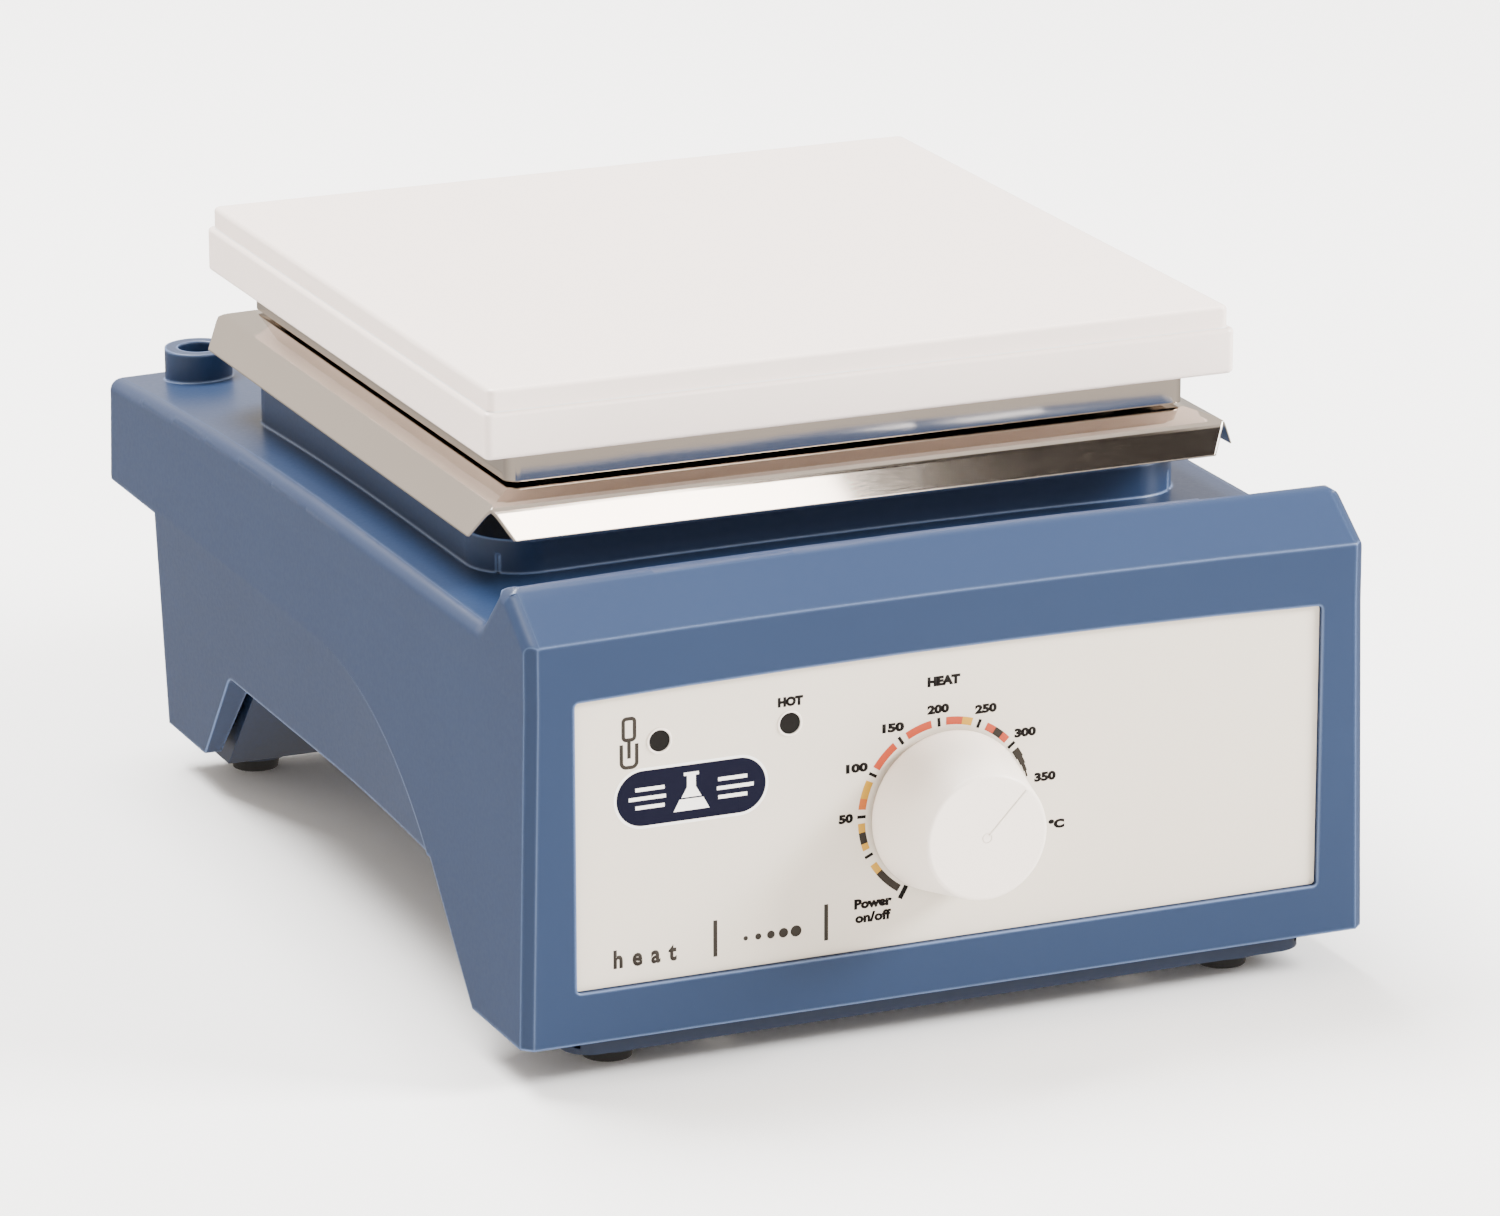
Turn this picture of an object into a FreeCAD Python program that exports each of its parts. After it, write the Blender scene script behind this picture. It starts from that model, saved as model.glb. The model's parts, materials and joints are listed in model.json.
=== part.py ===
import FreeCAD, Part
import Sketcher
import math
import os
import re

# Laboratory hot plate, 150 mm square heating plate.
# The unit stands on its feet: +Z up, knob towards -Y, origin on the bench
# under the middle of the whole outline.

V = FreeCAD.Vector

SIZES = {
    # whole unit
    "body_width": 167.8,
    "side_lean": 1.45,
    "body_depth": 231.0,
    "knob_reach": 17.2,
    "leg_height": 8.5,
    # top surface of the housing, heights at mid-width
    "crown_radius": 3560.0,
    "chamfer_height": 85.4,
    "ridge_height": 94.4,
    "ridge_run": 12.6,
    "ridge_round": 3.2,
    "saddle_run": 24.0,
    "saddle_round": 6.0,
    "ridge_end": 3.4,
    "deck_height": 83.0,
    "deck_flat": 95.0,
    "deck_fall": 5.8,
    "edge_bevel": 2.0,
    "edge_round": 2.4,
    "edge_margin": 2.0,
    # walls
    "front_wall": 3.0,
    "side_wall": 3.2,
    "roof_wall": 3.0,
    # rear overhang and side arches
    "overhang_height": 55.0,
    "rear_wall_run": 204.0,
    "rear_wall_lean": 5.0,
    "arch_front_foot": 25.7,
    "arch_front_top": 47.8,
    "arch_height": 30.8,
    "arch_rear_top": 166.0,
    "arch_rear_foot": 187.0,
    "arch_corner": 5.0,
    # tapered lower part of the sides
    "crease_height": 56.0,
    "crease_radius": 88.0,
    "crease_run": 111.0,
    "side_taper": 0.08,
    # raised plinth under the plate
    "plinth_width": 144.0,
    "plinth_front": 49.5,
    "plinth_rear": 181.5,
    "plinth_height": 89.0,
    "plinth_corner": 11.0,
    # control panel
    "fascia_width": 149.8,
    "fascia_low": 18.3,
    "fascia_high": 73.3,
    "fascia_arch": 2135.0,
    "fascia_corner": 0.8,
    "fascia_sink": 1.0,
    "fascia_thick": 0.6,
    "fascia_gap": 0.15,
    "dial_x": -1.5,
    "dial_z": 43.5,
    "lamp_z": 64.0,
    "power_lamp_x": -58.2,
    "hot_lamp_x": -32.65,
    "lamp_radius": 2.0,
    "lamp_length": 5.0,
    "lamp_flange": 2.8,
    # retort rod socket
    "rod_x": -68.0,
    "rod_run": 221.5,
    "rod_boss_radius": 6.9,
    "rod_boss_height": 83.7,
    "rod_hole_radius": 4.2,
    "rod_hole_depth": 18.0,
    # base pan
    "pan_width": 149.5,
    "pan_height": 4.9,
    "pan_gap": 0.2,
    "pan_front_foot": 24.6,
    "pan_front_top": 51.6,
    "pan_ceiling": 32.0,
    "pan_rear_top": 166.0,
    "pan_rear_foot": 189.0,
    "pan_wall": 1.2,
    "pan_flange": 9.0,
    "pan_corner": 5.5,
    # feet
    "foot_x": 62.9,
    "rear_foot_x": 65.0,
    "foot_front_run": 15.5,
    "foot_rear_run": 200.5,
    "foot_radius": 5.2,
    "foot_contact": 4.6,
    "pad_radius": 7.8,
    "rear_pad_radius": 7.0,
    "pad_drop": 2.0,
    "foot_stem": 2.4,
    "foot_bulb": 3.2,
    # pan screws and their posts
    "post_x": 42.0,
    "post_front_run": 13.0,
    "post_rear_run": 199.5,
    "post_radius": 4.0,
    "pan_screw_radius": 1.5,
    "pan_screw_length": 12.0,
    "pan_screw_head": 3.0,
    "pan_screw_head_height": 1.8,
    # heating plate
    "plate_size": 150.0,
    "plate_rim_size": 152.0,
    "plate_top": 121.0,
    "plate_step": 116.8,
    "plate_base": 108.0,
    "plate_corner": 1.5,
    "plate_edge": 0.8,
    "plate_skin": 5.0,
    "plate_wall": 8.0,
    # steel box under the plate
    "box_size": 138.0,
    "box_base": 101.3,
    "box_wall": 0.8,
    "box_corner": 2.5,
    # spill deflector
    "sheet": 0.8,
    "tray_height": 100.5,
    "tray_half": 69.0,
    "bend_half": 74.5,
    "bend_height": 98.8,
    "bend_round": 4.0,
    "skirt_half": 78.0,
    "skirt_height": 92.8,
    "skirt_length_half": 71.0,
    # plate fastening
    "stud_offset": 57.0,
    "stud_radius": 2.5,
    "stud_boss": 6.0,
    "stud_engage": 6.0,
    "spacer_radius": 5.0,
    "nut_across": 8.0,
    "nut_height": 4.0,
    "stud_tail": 1.5,
    # heating element
    "rod_radius": 3.2,
    "rod_pitch": 28.0,
    "rod_length": 66.0,
    # insulation
    "board_margin": 0.6,
    "board_drop": 0.4,
    # energy regulator
    "regulator_size": 28.0,
    "regulator_depth": 26.0,
    "bush_radius": 4.8,
    "bush_reach": 3.0,
    "bush_nut_across": 12.0,
    "bush_nut_height": 2.0,
    "spindle_radius": 3.0,
    "spindle_depth": 12.0,
    "running_gap": 0.05,
    # knob
    "knob_skirt": 15.5,
    "knob_face": 12.1,
    "knob_back": 0.5,
    "knob_edge": 0.8,
    "knob_shell": 2.0,
    "knob_hub": 5.6,
    "knob_top": 4.0,
    # inside parts
    "clearance": 0.1,
    "switch_radius": 8.0,
    "switch_height": 9.0,
    "board_x": -45.5,
    "board_width": 44.0,
    "board_height": 14.0,
    "board_thick": 1.6,
    "terminal_width": 30.0,
    "terminal_depth": 16.0,
    "terminal_height": 14.0,
    "earth_radius": 2.0,
    "earth_length": 14.0,
    # mains inlet
    "inlet_z": 35.0,
    "inlet_width": 27.0,
    "inlet_height": 19.8,
    "inlet_flange_width": 50.0,
    "inlet_flange_height": 22.6,
    "inlet_flange": 2.4,
    "inlet_depth": 20.0,
    "inlet_mouth_width": 24.0,
    "inlet_mouth_height": 16.6,
    "inlet_mouth_depth": 16.0,
    "inlet_screw_pitch": 40.0,
    "inlet_screw_radius": 1.5,
    "pin_pitch": 7.0,
    "pin_length": 13.0,
}

FRONT = "(knob_reach - body_depth) / 2"
REAR = "(knob_reach + body_depth) / 2"
PLATE_Y = "knob_reach / 2"
REAR_WALL = FRONT + " + rear_wall_run"
RECESS = "(fascia_sink + fascia_thick)"
INNER_FRONT = FRONT + " + front_wall"
PAN_FRONT = INNER_FRONT + " + pan_gap"
PAN_LEAN = "(rear_wall_lean * (overhang_height - pan_height - pan_flange)" \
           " / (overhang_height - leg_height))"
PAN_REAR = REAR_WALL + " + %s - roof_wall - pan_gap" % PAN_LEAN
DECK_REAR = "(deck_height - deck_fall)"
DECK_ARC = "((body_depth - deck_flat)^2 + deck_fall^2) / (2 * deck_fall)"
CROWN_DROP = "((body_width / 2)^2 / (2 * crown_radius))"
RISE = "atan((ridge_height - chamfer_height) / ridge_run)"
FALL = "atan((ridge_height - deck_height) / (saddle_run - ridge_run))"
CREST = "(ridge_round * tan((%s + %s) / 2))" % (RISE, FALL)
SADDLE = "(saddle_round * tan(%s / 2))" % FALL
LEAN_TOP = "(deck_height - deck_fall - edge_round - 2)"
FOOT_HALF = "(body_width / 2 + side_lean)"
CREASE_HALF = ("(body_width / 2 + side_lean * (%s - crease_height)"
               " / (%s - leg_height))" % (LEAN_TOP, LEAN_TOP))
# Sweeps in degrees that pass just beyond the housing's ends.
CROWN_SWEEP = 4.0
DECK_SWEEP = 5.4

doc = FreeCAD.newDocument("hot_plate")
sheet = doc.addObject("Spreadsheet::Sheet", "sizes")
for row, (alias, number) in enumerate(SIZES.items(), start=1):
    sheet.set("A%d" % row, alias)
    sheet.set("B%d" % row, str(number))
    sheet.setAlias("B%d" % row, alias)
doc.recompute()


def bind(text):
    """Turns size names into references to the sheet."""
    def swap(match):
        word = match.group()
        return "sizes." + word if word in SIZES else word
    return re.sub(r"[a-z][a-z_]+", swap, text)


def value(text):
    """Number that an expression of size names comes to."""
    return float(sheet.evalExpression(bind(text)))


def fixed(obj, **links):
    """Binds properties of an object to expressions of the sizes."""
    for key, text in links.items():
        obj.setExpression(key.replace("__", "."), bind(text))
    return obj


# Sketches

def plane(body, role):
    """Origin plane of a body."""
    for feature in body.Origin.OriginFeatures:
        if feature.Role == role:
            return feature
    raise ValueError(role)


def new_sketch(body, role, offset="0"):
    """Empty sketch on an origin plane, moved along the plane's normal."""
    sketch = body.newObject("Sketcher::SketchObject", "sketch")
    sketch.AttachmentSupport = [(plane(body, role), "")]
    sketch.MapMode = "FlatFace"
    sketch.setExpression("AttachmentOffset.Base.z", bind(offset))
    return sketch


def pin_point(sketch, index, end, across, up):
    """Fixes one point of a sketch by two distances from the origin."""
    for kind, text in (("DistanceX", across), ("DistanceY", up)):
        rule = Sketcher.Constraint(kind, -1, 1, index, end, value(text))
        number = sketch.addConstraint(rule)
        sketch.setExpression("Constraints[%d]" % number, bind(text))


def arc_between(start, finish, radius):
    """Short arc from start to finish, bulging to the left for a positive radius."""
    chord = finish - start
    middle = (start + finish) * 0.5
    side = V(-chord.y, chord.x, 0)
    side.normalize()
    size = abs(radius)
    turn = 1 if radius > 0 else -1
    rise = size - math.sqrt(size ** 2 - (chord.Length / 2) ** 2)
    return Part.Arc(start, middle + side * (rise * turn), finish)


def outline(sketch, points):
    """Closed outline; a third item in a point is the radius of the edge after it."""
    first = sketch.GeometryCount
    spots = [V(value(p[0]), value(p[1]), 0) for p in points]
    ends = []
    for number, point in enumerate(points):
        start = spots[number]
        finish = spots[(number + 1) % len(points)]
        if len(point) == 3:
            sketch.addGeometry(arc_between(start, finish, value(point[2])), False)
            ends.append((2, 1) if value(point[2]) > 0 else (1, 2))
        else:
            sketch.addGeometry(Part.LineSegment(start, finish), False)
            ends.append((1, 2))
    for number in range(len(points)):
        after = (number + 1) % len(points)
        rule = Sketcher.Constraint("Coincident", first + number, ends[number][1],
                                   first + after, ends[after][0])
        sketch.addConstraint(rule)
    for number, point in enumerate(points):
        pin_point(sketch, first + number, ends[number][0], point[0], point[1])
        if len(point) == 3:
            rule = Sketcher.Constraint("Radius", first + number, abs(value(point[2])))
            count = sketch.addConstraint(rule)
            sketch.setExpression("Constraints[%d]" % count, bind("abs(%s)" % point[2]))


def circle(sketch, across, up, radius):
    """Circle with its centre and radius bound to sizes."""
    index = sketch.GeometryCount
    centre = V(value(across), value(up), 0)
    sketch.addGeometry(Part.Circle(centre, V(0, 0, 1), value(radius)), False)
    pin_point(sketch, index, 3, across, up)
    count = sketch.addConstraint(Sketcher.Constraint("Radius", index, value(radius)))
    sketch.setExpression("Constraints[%d]" % count, bind(radius))


def rectangle(sketch, low_x, low_y, high_x, high_y):
    """Rectangle between two corners."""
    outline(sketch, [(low_x, low_y), (high_x, low_y), (high_x, high_y), (low_x, high_y)])


def axis_line(sketch, start, finish):
    """Construction line that later serves as an axis."""
    index = sketch.GeometryCount
    spots = [V(value(p[0]), value(p[1]), 0) for p in (start, finish)]
    sketch.addGeometry(Part.LineSegment(*spots), True)
    pin_point(sketch, index, 1, *start)
    pin_point(sketch, index, 2, *finish)


# Features of a body

def new_body(name):
    """Body whose label is the name of the piece."""
    body = doc.addObject("PartDesign::Body", name)
    body.Label = name
    return body


def pad(body, sketch, length, both=False, back=False):
    """Adds the sketch's area along its normal."""
    feature = body.newObject("PartDesign::Pad", "pad")
    feature.Profile = sketch
    feature.Midplane = both
    feature.Reversed = back
    fixed(feature, Length=length)
    doc.recompute()
    return feature


def pocket(body, sketch, length, both=False, back=False):
    """Cuts the sketch's area against its normal and checks that it cut."""
    before = body.Shape.Volume
    feature = body.newObject("PartDesign::Pocket", "pocket")
    feature.Profile = sketch
    feature.Midplane = both
    feature.Reversed = back
    fixed(feature, Length=length)
    doc.recompute()
    if feature.Shape.Volume >= before - 1e-6:
        raise ValueError("nothing cut: " + body.Label)
    return feature


def revolve(body, kind, sketch, axis, angle, both=False, back=False):
    """Revolution or Groove of a sketch about one of its lines."""
    before = body.Shape.Volume if kind == "Groove" else 0.0
    feature = body.newObject("PartDesign::" + kind, kind.lower())
    feature.Profile = sketch
    feature.ReferenceAxis = (sketch, [axis])
    feature.Angle = angle
    feature.Midplane = both
    feature.Reversed = back
    doc.recompute()
    if kind == "Groove" and feature.Shape.Volume >= before - 1e-6:
        raise ValueError("nothing cut: " + body.Label)
    return feature


def repeat(body, kind, originals, **settings):
    """Pattern or mirror of features, set as the body's last feature."""
    feature = body.newObject("PartDesign::" + kind, kind.lower())
    feature.Originals = originals
    for key, setting in settings.items():
        setattr(feature, key, setting)
    body.Tip = feature
    doc.recompute()
    return feature


def edges_of(feature, test):
    """Names of the edges that pass a test."""
    return ["Edge%d" % n for n, e in enumerate(feature.Shape.Edges, start=1) if test(e)]


def along(edge, direction):
    """True for a straight edge that runs in a direction."""
    if not isinstance(edge.Curve, Part.Line):
        return False
    way = edge.Vertexes[-1].Point - edge.Vertexes[0].Point
    way.normalize()
    return abs(way.dot(direction)) > 0.9999


def soften(body, kind, feature, names, size):
    """Fillet or Chamfer on named edges of a feature."""
    result = body.newObject("PartDesign::" + kind, kind.lower())
    result.Base = (feature, names)
    fixed(result, **{"Radius" if kind == "Fillet" else "Size": size})
    doc.recompute()
    return result


# Plain solids

def place(obj, across, depth, up):
    """Binds the position of an object."""
    return fixed(obj, Placement__Base__x=across, Placement__Base__y=depth,
                 Placement__Base__z=up)


def block(name, low, sizes):
    """Box from its low corner and three sizes."""
    obj = doc.addObject("Part::Box", name)
    fixed(obj, Length=sizes[0], Width=sizes[1], Height=sizes[2])
    return place(obj, *low)


TURNS = {
    "x": FreeCAD.Rotation(V(0, 1, 0), 90),
    "y": FreeCAD.Rotation(V(1, 0, 0), -90),
    "z": FreeCAD.Rotation(),
}


def rod(name, start, radius, length, axis="z"):
    """Cylinder from the centre of its first end."""
    obj = doc.addObject("Part::Cylinder", name)
    obj.Placement = FreeCAD.Placement(V(), TURNS[axis])
    fixed(obj, Radius=radius, Height=length)
    return place(obj, *start)


def hexagon(name, start, across, length, axis="z"):
    """Six-sided prism from the centre of its first end, by the width across flats."""
    obj = doc.addObject("Part::Prism", name)
    obj.Polygon = 6
    obj.Placement = FreeCAD.Placement(V(), TURNS[axis])
    fixed(obj, Circumradius="(%s) / sqrt(3)" % across, Height=length)
    return place(obj, *start)


def joined(name, shapes):
    """Union of several solids."""
    obj = doc.addObject("Part::MultiFuse", name)
    obj.Shapes = shapes
    return obj


def less(name, base, tools):
    """Solid with tools taken away."""
    tool = tools[0] if len(tools) == 1 else joined(name + "_tools", tools)
    obj = doc.addObject("Part::Cut", name)
    obj.Base = base
    obj.Tool = tool
    return obj


def group(name, shapes):
    """Separate like solids kept as one piece."""
    obj = doc.addObject("Part::Compound", name)
    obj.Links = shapes
    return obj


X_AXIS = V(1, 0, 0)
Y_AXIS = V(0, 1, 0)
Z_AXIS = V(0, 0, 1)
SIDES = (("left", "-"), ("right", ""))


# Cast housing

def top_line():
    """Side view of the top surface from front to rear, at mid-width."""
    crest_y = FRONT + " + ridge_run"
    saddle_y = FRONT + " + saddle_run"
    return [
        ("%s - %s * cos(%s)" % (crest_y, CREST, RISE),
         "ridge_height - %s * sin(%s)" % (CREST, RISE), "ridge_round"),
        ("%s + %s * cos(%s)" % (crest_y, CREST, FALL),
         "ridge_height - %s * sin(%s)" % (CREST, FALL)),
        ("%s - %s * cos(%s)" % (saddle_y, SADDLE, FALL),
         "deck_height + %s * sin(%s)" % (SADDLE, FALL), "-saddle_round"),
        ("%s + %s" % (saddle_y, SADDLE), "deck_height"),
        (FRONT + " + deck_flat", "deck_height", DECK_ARC),
        (REAR, DECK_REAR),
    ]


def shape_outside(body):
    """Outer block with the crowned ridge and deck cut into its top."""
    side = new_sketch(body, "YZ_Plane")
    blank = "ridge_height + 1"
    outline(side, [(FRONT, "leg_height"), (REAR_WALL + " + rear_wall_lean", "leg_height"),
                   (REAR_WALL, "overhang_height"), (REAR, "overhang_height"),
                   (REAR, blank), (FRONT, blank)])
    pad(body, side, "2 * " + FOOT_HALF, both=True)
    lean = new_sketch(body, "XZ_Plane", "-(%s)" % FRONT)
    for side, sign in SIDES:
        outline(lean, [(sign + FOOT_HALF, "leg_height"),
                       (sign + "body_width / 2", LEAN_TOP),
                       (sign + "body_width / 2", blank), (sign + FOOT_HALF, blank)])
    feature = pocket(body, lean, "body_depth")
    names = edges_of(feature, lambda e: along(e, Z_AXIS)
                     and abs(e.Vertexes[0].Y - value(FRONT)) < 1e-6)
    soften(body, "Chamfer", feature, names, "edge_bevel")

    top = new_sketch(body, "YZ_Plane")
    above = "ridge_height + 4"
    slope = "(ridge_height - chamfer_height) / ridge_run"
    outline(top, [(FRONT + " - 1", "chamfer_height - " + slope)] + top_line()
            + [(REAR + " + 1", DECK_REAR), (REAR + " + 1", above),
               (FRONT + " - 1", above)])
    axis_line(top, (FRONT, "ridge_height - crown_radius"), (REAR, "ridge_height - crown_radius"))
    revolve(body, "Groove", top, "Axis0", CROWN_SWEEP, both=True)


def edge_profile(body, depth, height, turn, axis="0"):
    """Cutter that rounds the top side edge, drawn across the edge at one point of it.

    The turn is the slope of the edge in degrees, and the axis line lies above
    the edge by a given distance for use as a centre.
    """
    half = "body_width / 2"
    sketch = body.newObject("Sketcher::SketchObject", "edge_profile")
    sketch.AttachmentSupport = [(plane(body, "XZ_Plane"), "")]
    sketch.MapMode = "FlatFace"
    sketch.AttachmentOffset = FreeCAD.Placement(V(), FreeCAD.Rotation(X_AXIS, value(turn)))
    sketch.setExpression("AttachmentOffset.Rotation.Angle", bind(turn))
    sketch.setExpression("AttachmentOffset.Base.y", bind("%s - %s" % (height, CROWN_DROP)))
    sketch.setExpression("AttachmentOffset.Base.z", bind("-(%s)" % depth))
    outline(sketch, [
        (half, "-edge_round"), (half + " + edge_margin", "-edge_round"),
        (half + " + edge_margin", "edge_margin"), (half + " - edge_round", "edge_margin"),
        (half + " - edge_round", "0", "edge_round"),
    ])
    axis_line(sketch, (half + " + edge_margin", axis), (half, axis))
    return sketch


def round_shoulders(body):
    """Rounds the top side edges along chamfer, ridge, saddle and deck."""
    slope = "sqrt(ridge_run^2 + (ridge_height - chamfer_height)^2)"
    back = "sqrt((saddle_run - ridge_run)^2 + (ridge_height - deck_height)^2)"
    crest_y = FRONT + " + ridge_run"
    saddle_y = FRONT + " + saddle_run"
    chamfer = edge_profile(body, "%s - edge_margin * cos(%s)" % (FRONT, RISE),
                           "chamfer_height - edge_margin * sin(%s)" % RISE, RISE)
    cuts = [pocket(body, chamfer, "%s + edge_margin - %s" % (slope, CREST))]
    half = "body_width / 2"
    crest = "(ridge_height - 1 - %s)" % CROWN_DROP
    end = new_sketch(body, "XZ_Plane", "-(%s)" % FRONT)
    outline(end, [
        (half + " + 0.1", crest + " - ridge_end"),
        (half + " + edge_margin", crest + " - ridge_end"),
        (half + " + edge_margin", "ridge_height + edge_margin"),
        (half + " - ridge_end", "ridge_height + edge_margin"),
        (half + " - ridge_end", crest + " + 0.1", "ridge_end + 0.1"),
    ])
    cuts.append(pocket(body, end, "saddle_run"))
    behind = edge_profile(body, "%s + %s * cos(%s)" % (crest_y, CREST, FALL),
                          "ridge_height - %s * sin(%s)" % (CREST, FALL), "-(%s)" % FALL)
    cuts.append(pocket(body, behind, "%s - %s - %s" % (back, CREST, SADDLE)))
    dip = edge_profile(body, "%s - %s * cos(%s)" % (saddle_y, SADDLE, FALL),
                       "deck_height + %s * sin(%s)" % (SADDLE, FALL), "-(%s)" % FALL,
                       "saddle_round")
    cuts.append(revolve(body, "Groove", dip, "Axis0", value(FALL), back=True))
    level = edge_profile(body, "%s + %s" % (saddle_y, SADDLE), "deck_height", "0")
    cuts.append(pocket(body, level, "deck_flat - saddle_run - %s" % SADDLE))
    sloping = edge_profile(body, FRONT + " + deck_flat", "deck_height", "0", "-(%s)" % DECK_ARC)
    cuts.append(revolve(body, "Groove", sloping, "Axis0", DECK_SWEEP))
    repeat(body, "Mirrored", cuts, MirrorPlane=(plane(body, "YZ_Plane"), [""]))


def taper_sides(body):
    """Leans the lower sides inwards below a crease that turns down at the front."""
    half = CREASE_HALF
    centre = "crease_height - crease_radius"
    corners = [(half, "crease_height"), (half + " + edge_margin", "crease_height"),
               (half + " + edge_margin", centre),
               (half + " - crease_radius * side_taper", centre)]
    rear = new_sketch(body, "XZ_Plane", "-(%s + crease_run)" % FRONT)
    outline(rear, corners)
    straight = pocket(body, rear, "body_depth - crease_run + 1")
    front = new_sketch(body, "XZ_Plane", "-(%s + crease_run)" % FRONT)
    outline(front, corners)
    axis_line(front, (half, centre), (half + " + edge_margin", centre))
    curved = revolve(body, "Groove", front, "Axis0", 90.0)
    repeat(body, "Mirrored", [straight, curved],
           MirrorPlane=(plane(body, "YZ_Plane"), [""]))


def hollow_out(body):
    """Inside of the shell, open below, in a wide upper and a narrow lower part."""
    top = "deck_height - roof_wall"
    fall = "deck_fall * roof_wall / (body_depth - deck_flat)"
    upper = new_sketch(body, "YZ_Plane")
    outline(upper, [
        (INNER_FRONT, "crease_height"), (INNER_FRONT, top),
        (FRONT + " + deck_flat", top),
        (REAR + " - roof_wall", DECK_REAR + " - roof_wall + " + fall),
        (REAR + " - roof_wall", "overhang_height + roof_wall"),
        (REAR_WALL + " - roof_wall", "overhang_height + roof_wall"),
        (REAR_WALL + " - roof_wall", "crease_height")])
    pocket(body, upper, "body_width - 2 * side_wall", both=True)
    lower = new_sketch(body, "YZ_Plane")
    outline(lower, [
        (INNER_FRONT, "leg_height - 1"),
        (REAR_WALL + " + rear_wall_lean - roof_wall", "leg_height - 1"),
        (REAR_WALL + " + rear_wall_lean - roof_wall", "leg_height"),
        (REAR_WALL + " - roof_wall", "overhang_height"),
        (REAR_WALL + " - roof_wall", "crease_height + 0.01"),
        (INNER_FRONT, "crease_height + 0.01")])
    pocket(body, lower, "body_width - 2 * side_wall"
           " - 2 * side_taper * (crease_height - leg_height)", both=True)


def open_arches(body):
    """Arch between the front and rear legs, seen from the side."""
    side = new_sketch(body, "YZ_Plane")
    outline(side, [
        (FRONT + " + arch_front_foot", "leg_height"),
        (FRONT + " + arch_front_top", "arch_height"),
        (FRONT + " + arch_rear_top", "arch_height"),
        (FRONT + " + arch_rear_foot", "leg_height"),
        (FRONT + " + arch_rear_foot", "leg_height - 2"),
        (FRONT + " + arch_front_foot", "leg_height - 2")])
    feature = pocket(body, side, "body_width + 10", both=True)
    names = edges_of(feature, lambda e: along(e, X_AXIS)
                     and abs(e.Vertexes[0].Z - value("arch_height")) < 1e-6
                     and abs(e.Vertexes[0].Y - value(FRONT + " + arch_rear_top")) < 1e-6)
    soften(body, "Fillet", feature, names, "arch_corner")


def raise_plinth(body):
    """Hollow raised block that carries the heating plate."""
    low = DECK_REAR + " - roof_wall"
    ground = new_sketch(body, "XY_Plane", low)
    half = "plinth_width / 2"
    rectangle(ground, "-" + half, FRONT + " + plinth_front", half, FRONT + " + plinth_rear")
    feature = pad(body, ground, "plinth_height - (%s)" % low)
    reach = value("plinth_width / 2")
    names = edges_of(feature, lambda e: along(e, Z_AXIS)
                     and abs(abs(e.Vertexes[0].X) - reach) < 1e-6
                     and max(v.Z for v in e.Vertexes) > value("plinth_height") - 1e-6)
    soften(body, "Fillet", feature, names, "plinth_corner")
    inner = new_sketch(body, "XY_Plane", "plinth_height - roof_wall")
    rectangle(inner, "side_wall - " + half, FRONT + " + plinth_front + side_wall",
              half + " - side_wall", FRONT + " + plinth_rear - side_wall")
    pocket(body, inner, "plinth_height - (%s) - roof_wall" % low)


def add_posts(body):
    """Posts for the pan's screws and the socket for the retort rod."""
    for run, top in (("post_front_run", "deck_height - 1"), ("post_rear_run", DECK_REAR)):
        ground = new_sketch(body, "XY_Plane", "pan_height + pan_wall")
        for side, sign in SIDES:
            circle(ground, sign + "post_x", FRONT + " + " + run, "post_radius")
        pad(body, ground, "%s - pan_height - pan_wall" % top)
    base = new_sketch(body, "XY_Plane", "rod_boss_height - rod_hole_depth - roof_wall")
    circle(base, "rod_x", FRONT + " + rod_run", "rod_boss_radius")
    pad(body, base, "rod_hole_depth + roof_wall")
    mouth = new_sketch(body, "XY_Plane", "rod_boss_height")
    circle(mouth, "rod_x", FRONT + " + rod_run", "rod_hole_radius")
    pocket(body, mouth, "rod_hole_depth")
    threads = new_sketch(body, "XY_Plane", "pan_height + pan_wall")
    for run in ("post_front_run", "post_rear_run"):
        for side, sign in SIDES:
            circle(threads, sign + "post_x", FRONT + " + " + run, "pan_screw_radius + clearance")
    pocket(body, threads, "pan_screw_length + 1", back=True)


def fascia_outline(sketch, gap="0"):
    """Panel outline with a slightly arched top edge."""
    half = "fascia_width / 2 - (%s)" % gap
    outline(sketch, [
        ("-(%s)" % half, "fascia_low + " + gap), (half, "fascia_low + " + gap),
        (half, "fascia_high - " + gap, "-fascia_arch"),
        ("-(%s)" % half, "fascia_high - " + gap)])


def panel_holes(sketch, gap):
    """Holes for the regulator's bush and the two lamps."""
    circle(sketch, "dial_x", "dial_z", "bush_radius + " + gap)
    circle(sketch, "power_lamp_x", "lamp_z", "lamp_radius + " + gap)
    circle(sketch, "hot_lamp_x", "lamp_z", "lamp_radius + " + gap)


def inlet_seat(sketch, margin):
    """Outline of the inlet's flange with a margin round it."""
    across = "(inlet_flange_width / 2 + %s)" % margin
    up = "(inlet_flange_height / 2 + %s)" % margin
    rectangle(sketch, "-" + across, "inlet_z - " + up, across, "inlet_z + " + up)


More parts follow.
